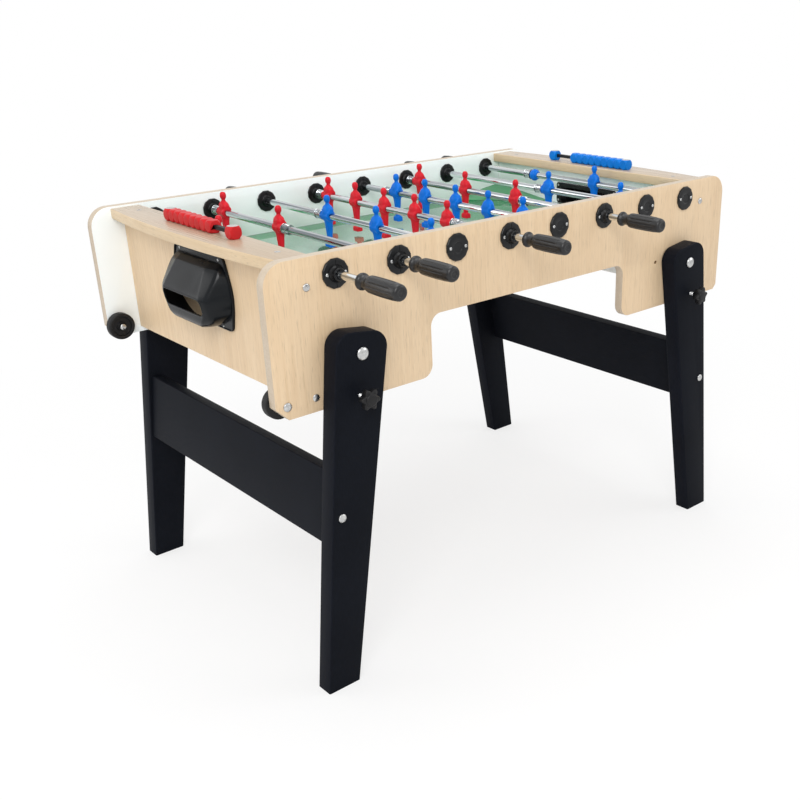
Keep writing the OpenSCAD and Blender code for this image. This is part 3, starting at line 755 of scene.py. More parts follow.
class Nodes:
    """A Geometry Nodes tree with named inputs."""

    # What an input holds, by the last word of its name; any other is a number
    KINDS = {"Object": "Object", "Finish": "Material", "Count": "Int"}

    def __init__(self, name, *inputs):
        self.tree = bpy.data.node_groups.new(name, "GeometryNodeTree")
        sockets = self.tree.interface
        sockets.new_socket("Geometry", in_out="OUTPUT", socket_type="NodeSocketGeometry")
        sockets.new_socket("Geometry", in_out="INPUT", socket_type="NodeSocketGeometry")
        for key in inputs:
            kind = "NodeSocket" + self.KINDS.get(key.split()[-1], "Float")
            sockets.new_socket(key, in_out="INPUT", socket_type=kind)
        self.entry = self.tree.nodes.new("NodeGroupInput")
        self.exit = self.tree.nodes.new("NodeGroupOutput")

    def input(self, key):
        return self.entry.outputs[key]

    def node(self, kind, settings=None, sockets=None, out=0):
        made = self.tree.nodes.new(kind)
        for key, value in (settings or {}).items():
            setattr(made, key, value)
        for key, value in (sockets or {}).items():
            if isinstance(value, bpy.types.NodeSocket):
                self.tree.links.new(value, made.inputs[key])
            else:
                made.inputs[key].default_value = value
        return made.outputs[out]

    def pattern(self):
        """The shape of the tree's pattern object."""
        sockets = {"Object": self.input("Pattern Object")}
        return self.node("GeometryNodeObjectInfo", {}, sockets, out="Geometry")

    def on_spots(self, shape):
        """Puts a shape on every vertex, turned as the vertex's "turn" says."""
        settings = {"data_type": "FLOAT_VECTOR"}
        turn = self.node("GeometryNodeInputNamedAttribute", settings, {"Name": "turn"})
        spin = self.node("FunctionNodeEulerToRotation", {}, {0: turn})
        dots = self.node("GeometryNodeMeshToPoints", {}, {"Mesh": self.input("Geometry")})
        sockets = {"Points": dots, "Instance": shape, "Rotation": spin}
        return self.node("GeometryNodeInstanceOnPoints", {}, sockets)

    def end(self, geometry):
        """Realizes the instances and gives them their finish."""
        solid = self.node("GeometryNodeRealizeInstances", {}, {0: geometry})
        sockets = {"Geometry": solid, "Material": self.input("Finish")}
        self.tree.links.new(self.node("GeometryNodeSetMaterial", {}, sockets), self.exit.inputs[0])

    def grow(self, name, host, **values):
        """The plain mesh that the tree makes from a host mesh and these inputs."""
        work = placed(name, host)
        modifier = work.modifiers.new("grow", "NODES")
        modifier.node_group = self.tree
        for item in self.tree.interface.items_tree:
            key = item.name.replace(" ", "_")
            if item.in_out == "INPUT" and key in values:
                modifier[item.identifier] = values[key]
        graph = bpy.context.evaluated_depsgraph_get()
        result = bpy.data.meshes.new_from_object(work.evaluated_get(graph))
        bpy.data.objects.remove(work)
        return result


# Copies of a pattern object, one on every spot
set_out = Nodes("set_out", "Pattern Object", "Finish")
set_out.end(set_out.on_spots(set_out.pattern()))


def spots_mesh(spots):
    """Vertices at the spots, each with the turn that faces its direction."""
    mesh = bpy.data.meshes.new("spots")
    mesh.from_pydata([spot for spot, _ in spots], [], [])
    turns = mesh.attributes.new("turn", "FLOAT_VECTOR", "POINT")
    for item, (_, turning) in zip(turns.data, spots):
        item.vector = turning
    return mesh


# The turn that points a pattern's Z out of the near side, -1, or the far side, 1
OUT = {-1: (math.pi / 2, 0, 0), 1: (-math.pi / 2, 0, 0)}


def patterned(name, patterns, finish):
    """One bmesh of several patterns, given as (bmesh, spots)."""
    made = bmesh.new()
    for bm, spots in patterns:
        model = placed(name + "_pattern", as_mesh(name + "_pattern", bm))
        made.from_mesh(set_out.grow(name, spots_mesh(spots), Pattern_Object=model, Finish=finish))
        bpy.data.objects.remove(model)
    return made


def twelve(radius_of_round):
    """Turns circles wider than radius_of_round into regular twelve-sided ones."""

    def wave(r, h, a):
        if r < radius_of_round:
            return r
        off = (a + math.radians(15)) % math.radians(30) - math.radians(15)
        return r * math.cos(math.radians(15)) / math.cos(off)

    return wave


def disc(profile, round_below, groove=None):
    """A turned disc; groove gives the (half width, bottom, top, reach) of its seam."""
    bm = add_turned(bmesh.new(), profile, steps=72, wave=twelve(round_below))
    if groove:
        x, z0, z1, reach = groove
        slot = add_prism(bmesh.new(), rectangle(-x, -reach, x, reach), "xy", z0, z1)
        bm = carved(bm, slot)
    return bm


# Radii of a tube, of the bore that it slides in and of the bore round an inner rod
TUBE, BORE, CORE_BORE = 0.008, 0.00808, 0.00653
# The side of each rod's grip: -1 near, 1 far
GRIP_SIDE = [-1, -1, 1, -1, 1, -1, 1, 1]
outer_bearing = disc(
    [(BORE, -0.0109), (0.0139, -0.0109), (0.0139, -0.0001), (0.0286, -0.0001), (0.0290, 0.0004),
     (0.0290, 0.0034), (0.0278, 0.0046), (0.0265, 0.0050), (0.0178, 0.0050), (0.0170, 0.0040),
     (0.0162, 0.0040), (0.0154, 0.0056), (0.0134, 0.0082), (0.0127, 0.0110), (0.0125, 0.0160),
     (0.0118, 0.0170), (0.0094, 0.0170), (BORE, 0.0160), (BORE, -0.0109)],
    0.0175, (0.0005, 0.0038, 0.0085, 0.035),
)
closed_bearing = disc(
    [(CORE_BORE, -0.0109), (0.0139, -0.0109), (0.0139, -0.0001), (0.0286, -0.0001),
     (0.0290, 0.0004), (0.0290, 0.0034), (0.0278, 0.0046), (0.0265, 0.0050), (0.0122, 0.0050),
     (0.0114, 0.0046), (0.0106, 0.0037), (0.0060, 0.0035), (0.0, 0.0035)],
    0.0150,
)
inner_bearing = disc(
    [(BORE, -0.0108), (0.0139, -0.0108), (0.0139, -0.0001), (0.0257, -0.0001),
     (0.0260, 0.0004), (0.0260, 0.0028), (0.0250, 0.0037), (0.0238, 0.0040), (0.0150, 0.0040),
     (0.0143, 0.0046), (0.0127, 0.0062), (0.0121, 0.0082), (0.0119, 0.0096), (0.0112, 0.0100),
     (0.0092, 0.0100), (BORE, 0.0092), (BORE, -0.0108)],
    0.0150, (0.0005, 0.0028, 0.0075, 0.032),
)
bearing_plastic = black_moulding("bearing_plastic", 0.30, 800, (11, 12, 14))
halves = (
    (closed_bearing, [((x, -s * OUTER, ROD_Z), OUT[-s]) for x, s in zip(ROD_X, GRIP_SIDE)]),
    (outer_bearing, [((x, s * OUTER, ROD_Z), OUT[s]) for x, s in zip(ROD_X, GRIP_SIDE)]),
    (inner_bearing, [((x, s * INNER, ROD_Z), OUT[-s]) for x in ROD_X for s in (-1, 1)]),
)
bearings = patterned("bearing", halves, bearing_plastic)
finished("rod_bearing_discs", bearings, [bearing_plastic], "cabinet", "rod_bearings", sharp=28)

# ---------------------------------------------------------------- screws
# Zinc-plated cross-head screws hold the bearings, cups, goal frames and end
# boards. Four sizes, each set out by node tree.


def zinc_plate():
    f = Finish("zinc_plate", Metallic=1.0)
    haze = f.cloud(160, 3.0)
    tone = f.mix(haze, srgb(206, 206, 204), srgb(176, 177, 178))
    return f.wear(Base_Color=tone, Roughness=haze * 0.14 + 0.22)


zinc = zinc_plate()


def cross_screw(r, h, shank):
    """A domed head over a plain shank, its cross cut by two slots."""
    edge = 0.0003
    angles = np.linspace(0, 1.5708, 7)[:-1]
    lens = [(r * math.cos(a), edge + (h - edge) * math.sin(a)) for a in angles]
    profile = [(0, -shank), (0.0012, -shank + 0.002), (0.0014, 0), (r, 0)] + lens + [(0, h)]
    head = add_turned(bmesh.new(), profile, steps=24)
    for u, v in ((r * 0.55, r * 0.13), (r * 0.13, r * 0.55)):
        slot = add_prism(bmesh.new(), rectangle(-u, -v, u, v), "xy", h * 0.4, h * 2)
        head = carved(head, slot)
    return head


bearing_spots = [
    ((x + e * 0.020, s * (OUTER + 0.005), ROD_Z), OUT[s])
    for x in ROD_X
    for s in (-1, 1)
    for e in (-1, 1)
]
end_spots, goal_spots, board_spots = [], [], []
for end in (-1, 1):
    facing = (0, end * math.pi / 2, 0)
    for s in (-1, 1):
        for y, z in ((s * 0.072, 0.714), (s * 0.082, 0.853)):
            end_spots.append(((end * (END_OUT + 0.004), y, z), facing))
    inward = (0, -end * math.pi / 2, 0)
    for y in (-0.104, 0.104):
        for z in (FIELD + 0.008, GOAL_TOP + 0.006):
            goal_spots.append(((end * (END_IN - 0.002), y, z), inward))
    board_spots += [((end * 0.582, y, BOARD_TOP), (0, 0, 2 * y)) for y in (-0.290, 0.290)]
sizes = (
    (cross_screw(0.0034, 0.0016, 0.012), bearing_spots),
    (cross_screw(0.0030, 0.0016, 0.012), end_spots),
    (cross_screw(0.0030, 0.0010, 0.008), goal_spots),
    (cross_screw(0.0060, 0.0008, 0.012), board_spots),
)
heads = patterned("screw", sizes, zinc)
finished("cross_head_screws", heads, [zinc], "cabinet", "screws")

# ---------------------------------------------------------------- bolts
# Domed zinc bolts: four hold each end panel, one carries each leg, and one is
# the axle of each wheel. The leg bolts end in nuts inside the cabinet.


def dome_head(r, h, rim=0.0012):
    """Profile of a low dome on an upright rim."""
    arc_in = [(r * math.cos(a), rim + (h - rim) * math.sin(a)) for a in np.linspace(0.12, 1.45, 9)]
    return [(0, 0), (r * 0.96, 0), (r, rim * 0.4), (r, rim * 0.8)] + arc_in + [(0, h)]


panel_heads = add_turned(bmesh.new(), dome_head(0.0075, 0.0032), steps=32)
pivot_heads = add_turned(bmesh.new(), dome_head(0.013, 0.006), steps=40)
axle_heads = add_turned(bmesh.new(), dome_head(0.009, 0.004), steps=32)
axle_nuts = add_turned(bmesh.new(), dome_head(0.007, 0.005, 0.002), steps=32)
hexagon = [(0.0095 * math.cos(a), 0.0095 * math.sin(a)) for a in np.arange(6) * math.pi / 3]
nuts = add_prism(bmesh.new(), hexagon, "xy", 0.0, 0.007, 0.0006, 2)
add_bar(nuts, (0, 0, 0.0), (0, 0, 1), 0.0049, 0.0078, 24)
LEG_IN, LEG_OUT = 0.379, 0.421
pivot_ends = [(e * PIVOT[0], PIVOT[1]) for e in (-1, 1)]
fittings = [
    (shape, [((x, s * offset, z), OUT[s * way]) for x, z in places for s in (-1, 1)])
    for shape, offset, places, way in (
        (panel_heads, OUTER, PANEL_BOLTS, 1),
        (pivot_heads, LEG_OUT + 0.0005, pivot_ends, 1),
        (nuts, INNER, pivot_ends, -1),
        (axle_heads, OUTER, [WHEEL_AXLE], 1),
        (axle_nuts, INNER - 0.0225, [WHEEL_AXLE], -1),
    )
]
bolts = patterned("bolt", fittings, zinc)
for s in (-1, 1):
    for x, z in pivot_ends:
        add_bar(bolts, (x, s * LEG_OUT, z), (0, -s, 0), 0.005, 0.064, 24)
    add_bar(bolts, (WHEEL_AXLE[0], s * 0.377, WHEEL_AXLE[1]), (0, -s, 0), 0.004, 0.042, 24)
finished("domed_bolts", bolts, [zinc], "cabinet", "bolts")

# ---------------------------------------------------------------- score counters
# Eight plastic cubes a team, rounded to a ball at their corners, slide on a
# square black bar between two fixed end blocks, each screwed to the end board.

PITCH, GAP, CUBE_Z, BAR_X = 0.0226, 0.0586, 0.914, 0.582
HALF_BAR = (10 * PITCH + GAP) / 2


def plastic(name, tone, rough=0.3):
    f = Finish(name, Specular_IOR_Level=0.16)
    cloud = f.cloud(45)
    skin = f.noise((650, 650, 650))
    colour = f.mix(cloud, srgb(*tone), srgb(*(v * 0.93 for v in tone)))
    return f.wear(
        Base_Color=colour, Roughness=cloud * 0.1 + rough, Normal=f.bump(skin, 0.00008, 0.45)
    )


counter_red = plastic("counter_red", (206, 40, 44), 0.34)
counter_blue = plastic("counter_blue", (0, 124, 222), 0.34)
bar_black = black_moulding("bar_black", 0.4, 500, (16, 16, 17))


def cube(height, drop, ball, bore, depth=0.03):
    """A block rounded by a ball, bored along Y from one side to depth beyond its middle."""
    h, w = height / 2, (PITCH - 0.0002) / 2
    block = add_prism(bmesh.new(), rectangle(-0.0125, -w, 0.0125, w), "xy", -h - drop, h - drop)
    sphere = bmesh.new()
    bmesh.ops.create_uvsphere(sphere, u_segments=40, v_segments=24, radius=ball)
    block = carved(block, sphere, "INTERSECT")
    square = rectangle(-bore, -bore, bore, bore)
    block = carved(block, add_prism(bmesh.new(), square, "xz", -0.03, depth))
    bmesh.ops.dissolve_limit(block, angle_limit=0.02, verts=block.verts[:], edges=block.edges[:])
    settings = {"width": 0.0005, "segments": 2, "limit_method": "ANGLE", "angle_limit": 0.5}
    return evaluated(block, ("BEVEL", settings))


# A straight row of copies, from the start along Y
row = Nodes("counter_row", "Pattern Object", "Finish", "Row Count", "Pitch")
step = row.node("ShaderNodeCombineXYZ", {}, {"Y": row.input("Pitch")})
line = row.node("GeometryNodeMeshLine", {}, {"Count": row.input("Row Count"), "Offset": step})
sockets = {"Points": line, "Instance": row.pattern()}
row.end(row.node("GeometryNodeInstanceOnPoints", {}, sockets))

for name, node, body, finish, end in (
    ("blue_counter_cubes", "blue_counters", "blue_counter_row", counter_blue, 1),
    ("red_counter_cubes", "red_counters", "red_counter_row", counter_red, -1),
):
    model = placed("cube_pattern", as_mesh("cube_pattern", cube(0.025, 0.0, 0.0164, 0.00415)))
    grown = row.grow(
        name, bpy.data.meshes.new("row"), Pattern_Object=model, Finish=finish,
        Row_Count=8, Pitch=end * PITCH,
    )
    bpy.data.objects.remove(model)
    first = (end * BAR_X, end * (-HALF_BAR + 1.5 * PITCH), CUBE_Z)
    grown.transform(Matrix.Translation(first))
    adopt(name, grown, [finish], body, node, sharp=24)

BLOCK_Y = HALF_BAR - PITCH / 2
blocks = bmesh.new()
for end in (-1, 1):
    for side in (-1, 1):
        spot = Vector((end * BAR_X, side * BLOCK_Y, CUBE_Z))
        block = as_mesh("block", cube(0.0255, 0.00025, 0.0168, 0.00403, 0.0084))
        turned = Matrix.Rotation(0 if side > 0 else math.pi, 4, "Z")
        block.transform(Matrix.Translation(spot) @ turned)
        blocks.from_mesh(block)
        screw = dome_head(0.0036, 0.0007, 0.0003)
        add_turned(blocks, screw, spot + Vector((0, 0, 0.0118)), steps=24)


def paint_block(face):
    """Zinc on the screw, and the team's colour on the block."""
    at = face.calc_center_median()
    off = math.hypot(abs(at.x) - BAR_X, abs(at.y) - BLOCK_Y)
    if off < 0.0037 and at.z > CUBE_Z + 0.01205:
        return 2
    return 0 if at.x < 0 else 1


finished(
    "bar_end_blocks", blocks, [counter_red, counter_blue, zinc], "cabinet", "counter_end_blocks",
    paint=paint_block, sharp=24,
)
bars = bmesh.new()
for end in (-1, 1):
    x, z, r = end * BAR_X, CUBE_Z, 0.004
    square = rectangle(x - r, z - r, x + r, z + r)
    add_prism(bars, square, "xz", -HALF_BAR + 0.003, HALF_BAR - 0.003, 0.0004)
finished("counter_square_bars", bars, [bar_black], "cabinet", "counter_bars")

# ---------------------------------------------------------------- leg frames
# Tapered legs and a deep stretcher of black laminated board, with softened
# edges. Each leg is bored for its pivot, its knob and the stretcher's bolt.


def black_laminate(name, tone, along, rough=0.5):
    f = Finish(name, Specular_IOR_Level=0.04)
    stretch = [520, 520, 520]
    stretch["xyz".index(along)] = 60
    hair = f.noise(stretch).between(0.35, 0.68)
    cloud = f.cloud(7)
    colour = f.mix(hair * 0.55 + cloud * 0.3, srgb(*tone), srgb(*(v * 1.45 for v in tone)))
    return f.wear(
        Base_Color=colour, Roughness=hair * 0.1 + rough - 0.05, Normal=f.bump(hair, 0.00007, 0.6)
    )


leg_face = black_laminate("leg_laminate", (15, 17, 22), "z")
leg_edge = black_laminate("leg_edge_band", (17, 19, 25), "z", 0.42)
stretcher_face = black_laminate("stretcher_laminate", (18, 20, 25), "y")


def leg_frame_matrix(end):
    """From a leg's own frame, pivot at the origin and foot down, to the table."""
    flip = Matrix.Diagonal((-1 if end < 0 else 1, 1, 1, 1))
    lean = Matrix.Rotation(-LEAN, 4, "Y")
    return flip @ Matrix.Translation((PIVOT[0], 0, PIVOT[1])) @ lean


# A stretcher's section in the leg's own frame: X from and to, Z from and to
BOARD_X0, BOARD_X1, BOARD_Z0, BOARD_Z1 = 0.014, 0.042, -0.397, -0.241
BOLT_HOLE = ((BOARD_X0 + BOARD_X1) / 2, -0.331)


def leg_outline():
    """A leg, longer than it needs to be; the floor cuts it."""
    foot = [(-0.037, -0.760), (0.037, -0.760)]
    return foot + arc(0.025, 0.008, 0.034, 0, 90) + arc(-0.025, 0.008, 0.034, 90, 180)


for end, word in ((-1, "left"), (1, "right")):
    move = leg_frame_matrix(end)
    legs = bmesh.new()
    drill = bmesh.new()
    for s in (-1, 1):
        low, high = sorted((s * LEG_IN, s * LEG_OUT))
        add_prism(legs, leg_outline(), "xz", low, high, 0.0030, 3)
        holes = ((0, 0, 0.00508), (0, -KNOB_FROM_PIVOT, 0.0041), (*BOLT_HOLE, 0.00405))
        for x, z, r in holes:
            add_bar(drill, (x, s * 0.43, z), (0, -s, 0), r, 0.06)
    legs = carved(legs, drill)
    bmesh.ops.transform(legs, matrix=move, verts=legs.verts)
    cut = bmesh.ops.bisect_plane(
        legs, geom=legs.verts[:] + legs.edges[:] + legs.faces[:], plane_co=(0, 0, 0),
        plane_no=(0, 0, -1), clear_outer=True,
    )
    soles = [e for e in cut["geom_cut"] if isinstance(e, bmesh.types.BMEdge)]
    bmesh.ops.edgenet_fill(legs, edges=soles)
    bmesh.ops.recalc_face_normals(legs, faces=legs.faces)
    finished(
        word + "_leg_pair", legs, [leg_face, leg_edge], word + "_frame", word + "_legs",
        paint=lambda face: 0 if abs(face.normal.y) > 0.9 else 1,
    )
    section = rectangle(BOARD_X0, BOARD_Z0, BOARD_X1, BOARD_Z1)
    board = add_prism(bmesh.new(), section, "xz", -LEG_IN + 0.0002, LEG_IN - 0.0002)
    long_edges = [e for e in board.edges if abs(e.verts[0].co.y - e.verts[1].co.y) > 0.5]
    bmesh.ops.bevel(
        board, geom=long_edges, offset=0.0022, segments=3, profile=0.5, affect="EDGES"
    )
    bmesh.ops.transform(board, matrix=move, verts=board.verts)
    bmesh.ops.recalc_face_normals(board, faces=board.faces)
    finished(
        word + "_stretcher_board", board, [stretcher_face], word + "_frame", word + "_stretcher"
    )
    bolts = bmesh.new()
    x, z = BOLT_HOLE
    for s in (-1, 1):
        add_turned(bolts, dome_head(0.009, 0.004), (x, s * LEG_OUT, z), (0, s, 0))
        add_bar(bolts, (x, s * (LEG_OUT + 0.0002), z), (0, -s, 0), 0.004, 0.080, 24)
    bmesh.ops.transform(bolts, matrix=move, verts=bolts.verts)
    bmesh.ops.recalc_face_normals(bolts, faces=bolts.faces)
    finished(word + "_stretcher_bolts", bolts, [zinc], word + "_frame", word + "_leg_bolts")

# ---------------------------------------------------------------- locking knobs
# Six-lobed black plastic knobs on a threaded steel stud, drawn back by the
# length of stud that enters the side panel.

DRAWN_BACK = 0.0135
knob_plastic = black_moulding("knob_plastic", 0.42, 600, (14, 14, 16))


def knob_wave(r, h, a):
    """Six lobes on the wide part of a knob."""
    if r < 0.0128 or h < 0.0088 or h > 0.0238:
        return r
    return r * (1 + 0.19 * math.cos(6 * a)) / 1.19


def thread(h0, h1, r):
    """Profile of a threaded stud, its turns drawn as rings."""
    pitch = 0.00125
    ridges = []
    for i in range(int((h1 - h0) / pitch)):
        ridges += [(r - 0.0005, h0 + i * pitch), (r, h0 + (i + 0.5) * pitch)]
    return [(0, h0)] + ridges + [(r, h1), (0, h1)]


for end, word in ((-1, "left"), (1, "right")):
    for s, place in ((-1, "front"), (1, "rear")):
        knob = bmesh.new()
        spot = (0, s * (LEG_OUT + DRAWN_BACK), -KNOB_FROM_PIVOT)
        add_turned(
            knob,
            [(0, 0), (0.0085, 0), (0.0092, 0.0006), (0.0112, 0.0070), (0.0124, 0.0088),
             (0.0190, 0.0092), (0.0212, 0.0100), (0.0220, 0.0118), (0.0220, 0.0212),
             (0.0213, 0.0228), (0.0196, 0.0237), (0.0127, 0.0240), (0.0122, 0.0254),
             (0.0110, 0.0266), (0.0098, 0.0269), (0.0, 0.0269)],
            spot, (0, s, 0), 96, knob_wave,
        )
        plastic_faces = len(knob.faces)
        add_turned(knob, thread(-0.0545, 0.002, 0.0040), spot, (0, s, 0), 24)
        knob.faces.ensure_lookup_table()
        for face in knob.faces[plastic_faces:]:
            face.material_index = 1
        bmesh.ops.transform(knob, matrix=leg_frame_matrix(end), verts=knob.verts)
        bmesh.ops.recalc_face_normals(knob, faces=knob.faces)
        node = f"{word}_{place}_knob"
        finished(
            node + "_lobed", knob, [knob_plastic, zinc], node + "_body", node,
            paint=lambda face: face.material_index, sharp=40,
        )

# ---------------------------------------------------------------- wheels
# Two solid black transport wheels on the inner faces of the side panels, with
# a dished face and a raised hub.

wheel_rubber = black_moulding("wheel_rubber", 0.48, 350, (15, 15, 16))
for s, place in ((-1, "front"), (1, "rear")):
    wheel = bmesh.new()
    add_turned(
        wheel,
        [(0.00408, 0.0), (0.0286, 0.0), (0.0300, 0.0006), (0.0308, 0.0020), (0.0310, 0.0040),
         (0.0310, 0.0150), (0.0306, 0.0176), (0.0292, 0.0194), (0.0276, 0.0200),
         (0.0240, 0.0200), (0.0230, 0.0194), (0.0214, 0.0146), (0.0206, 0.0140),
         (0.0118, 0.0140), (0.0110, 0.0148), (0.0102, 0.0184), (0.0096, 0.0190),
         (0.00408, 0.0190), (0.00408, 0.0)],
        (WHEEL_AXLE[0], s * (INNER - 0.0015), WHEEL_AXLE[1]), (0, -s, 0), 64,
    )
    name = f"{place}_wheel"
    finished(name + "_tyre", wheel, [wheel_rubber], name + "_body", name)

# ---------------------------------------------------------------- players
# One moulded figure, red or blue: egg-shaped head, sloping shoulders, arms held
# to a round hub, legs pressed together and a wide block of a foot.


def add_loft(bm, levels, steps=28, power=0.86):
    """Closed body through level ellipses (z, half width, half depth, shift, crease)."""
    rings = []
    for z, wide, deep, shift, crease in levels:
        ring = []
        for i in range(steps):
            a = 2 * math.pi * i / steps
            c, s = math.cos(a), math.sin(a)
            y = wide * math.copysign(abs(s) ** power, s)
            x = deep * math.copysign(abs(c) ** power, c)
            x *= 1 - crease * math.exp(-((y / 0.0016) ** 2))
            ring.append(bm.verts.new((x + shift, y, z)))
        rings.append(ring)
    made = [bm.faces.new(rings[0]), bm.faces.new(rings[-1])]
    for a, b in zip(rings, rings[1:]):
        for i in range(steps):
            j = (i + 1) % steps
            made.append(bm.faces.new((a[i], a[j], b[j], b[i])))
    bmesh.ops.recalc_face_normals(bm, faces=made)


def add_capsule(bm, a, b, ra, rb, steps=16):
    """A round-ended limb from a to b that tapers from ra to rb."""
    a, b = Vector(a), Vector(b)
    length = (b - a).length
    low = [(ra * math.sin(t), -ra * math.cos(t)) for t in np.linspace(0, 1.571, 5)]
    high = [(rb * math.cos(t), length + rb * math.sin(t)) for t in np.linspace(0, 1.571, 5)]
    low[0], high[-1] = (0, -ra), (0, length + rb)
    add_turned(bm, low + high, a, b - a, steps)


def figure():
    """One player round its rod, head up and facing along X."""
    # The lists are in millimetres
    mm = 0.001
    body = bmesh.new()
    levels = [
        (31.5, 4.4, 4.3, 0.4, 0), (28.0, 4.6, 4.5, 0.3, 0), (25.6, 7.0, 5.8, 0.2, 0),
        (23.4, 11.0, 7.6, 0.2, 0), (20.0, 14.0, 9.3, 0.3, 0), (15.0, 15.8, 10.8, 0.5, 0),
        (9.0, 16.2, 11.5, 0.6, 0), (3.0, 15.8, 11.8, 0.5, 0), (-4.0, 14.4, 11.4, 0.4, 0),
        (-9.0, 12.8, 10.2, 0.2, 0), (-13.0, 11.0, 9.2, 0.1, 0.0), (-17.0, 9.9, 8.5, 0.1, 0.06),
        (-23.0, 9.6, 7.8, 0.0, 0.17), (-30.0, 9.4, 7.1, 0.0, 0.25), (-38.0, 8.8, 6.4, 0.0, 0.27),
        (-47.0, 7.7, 5.5, 0.0, 0.27), (-54.5, 6.9, 5.1, 0.1, 0.2), (-59.0, 6.9, 5.3, 0.2, 0.1),
        (-63.0, 7.4, 5.8, 0.5, 0.0),
    ]
    add_loft(body, [(z * mm, w * mm, d * mm, c * mm, k) for z, w, d, c, k in levels])
    head = [(0.0, 29.6), (2.7, 30.0), (4.8, 31.4), (6.4, 33.7), (7.3, 36.5), (7.6, 39.6)]
    head += [(7.1, 42.9), (5.8, 45.9), (3.6, 47.8), (0.0, 48.4)]
    add_turned(body, [(r * mm, h * mm) for r, h in head], (0.0006, 0, 0), steps=28)
    add_capsule(body, (0.0072, 0, 0.0395), (0.0077, 0, 0.0371), 0.0008, 0.0012, 10)
    for s in (-1, 1):
        joints = [(2.0, 12.8, 16.8, 3.4), (8.0, 12.4, 8.0, 3.5), (10.0, 8.6, -2.0, 2.8)]
        for (xa, ya, za, ra), (xb, yb, zb, rb) in zip(joints, joints[1:]):
            a, b = (xa * mm, s * ya * mm, za * mm), (xb * mm, s * yb * mm, zb * mm)
            add_capsule(body, a, b, ra * mm, rb * mm)
    hub = [(0, -13.5), (10.8, -13.5), (12.2, -12.8), (12.7, -11.3), (12.7, 11.3)]
    hub += [(12.2, 12.8), (10.8, 13.5), (0, 13.5)]
    add_turned(body, [(r * mm, h * mm) for r, h in hub], axis=(0, 1, 0), steps=36)
    sole = [(-7.0, -71.9), (-6.4, -72.3), (-3.0, -72.5), (6.0, -72.5), (8.2, -71.8), (8.5, -71.0),
            (8.5, -63.2), (7.9, -62.2), (5.4, -59.4), (-4.6, -59.4), (-6.4, -61.6), (-7.0, -63.0)]
    add_prism(body, [(x * mm, z * mm) for x, z in sole], "xz", -0.0105, 0.0105, 0.0010, 2)
    return evaluated(
        body,
        ("REMESH", {"mode": "VOXEL", "voxel_size": 0.00125, "use_smooth_shade": True}),
        ("CORRECTIVE_SMOOTH", {"factor": 0.5, "iterations": 2, "smooth_type": "SIMPLE"}),
    )


# The men of each rod, how far their middle stands from the table's, and how far
# apart they stand
MEN = [1, 2, 3, 5, 5, 3, 2, 1]
SHIFT = [0.048, 0.176, -0.109, 0.062, -0.030, 0.106, -0.176, -0.078]
SPACING = {1: 0.0, 2: 0.245, 3: 0.190, 5: 0.1175}
red = plastic("figure_red", (220, 34, 48))
blue = plastic("figure_blue", (0, 114, 222))
COLLAR, GRIP_GAP = 0.235, 0.047

# A rod stops where its spring meets the bearing, at STOP. stops and grip_at hold
# how far each rod's spring ends and its grip starts from the middle of its men.
STOP = INNER - 0.011
stops, grip_at = [], []
for men in MEN:
    stops.append(COLLAR + 0.027 if men == 1 else (men - 1) / 2 * SPACING[men] + 0.045)
    grip_at.append(OUTER + GRIP_GAP + STOP - stops[-1])

man = figure()
ON_TUBE = TUBE + 0.00005
sleeve = [(ON_TUBE, 0.0), (0.0113, 0.0), (0.0116, 0.0006), (0.0112, 0.0034), (0.0104, 0.0063),
          (0.0098, 0.0069), (ON_TUBE, 0.0069), (ON_TUBE, 0.0)]
barrel = [(ON_TUBE, -0.024), (0.0094, -0.024), (0.0102, -0.0232), (0.0112, -0.0196),
          (0.0110, -0.0182), (0.0136, -0.0160), (0.0156, -0.0132), (0.0160, -0.0112),
          (0.0158, -0.0084), (0.0147, -0.0056), (0.0138, -0.0036), (0.0134, -0.0019),
          (ON_TUBE, -0.0019), (ON_TUBE, -0.024)]
washer = [(ON_TUBE, -0.0015), (0.0129, -0.0015), (0.0135, -0.0009), (0.0135, 0.0021),
          (0.0129, 0.0027), (ON_TUBE, 0.0027), (ON_TUBE, -0.0015)]
for k in range(8):
    men, team = MEN[k], GRIP_SIDE[k] < 0
    centre = Vector((ROD_X[k], SHIFT[k], ROD_Z))
    facing = (0, 0, 0) if team else (0, 0, math.pi)
    spots = [
        (centre + Vector((0, (i - (men - 1) / 2) * SPACING[men], 0)), facing) for i in range(men)
    ]
    finish = red if team else blue
    row_of_men = patterned("figure", [(man.copy(), spots)], finish)
    for s in (-1, 1):
        if men == 1:
            add_turned(row_of_men, barrel, centre + Vector((0, s * COLLAR, 0)), (0, s, 0))
        else:
            y = s * ((men - 1) / 2 * SPACING[men] + 0.0137)
            add_turned(row_of_men, sleeve, centre + Vector((0, y, 0)), (0, s, 0))
    body = f"rod_{k + 1}_slider"
    finished(f"figures_{k + 1}", row_of_men, [finish], body, f"players_{k + 1}", sharp=50)
    if men == 1:
        rings = bmesh.new()
        for s in (-1, 1):
            add_turned(rings, washer, centre + Vector((0, s * COLLAR, 0)), (0, s, 0))
        finished(f"stop_rings_{k + 1}", rings, [bearing_plastic], body)
man.free()

# ---------------------------------------------------------------- rods
# Chromed steel tubes slide over ground steel rods held in the closed bearings.
# A wire spring between two washers buffers each end of the travel.


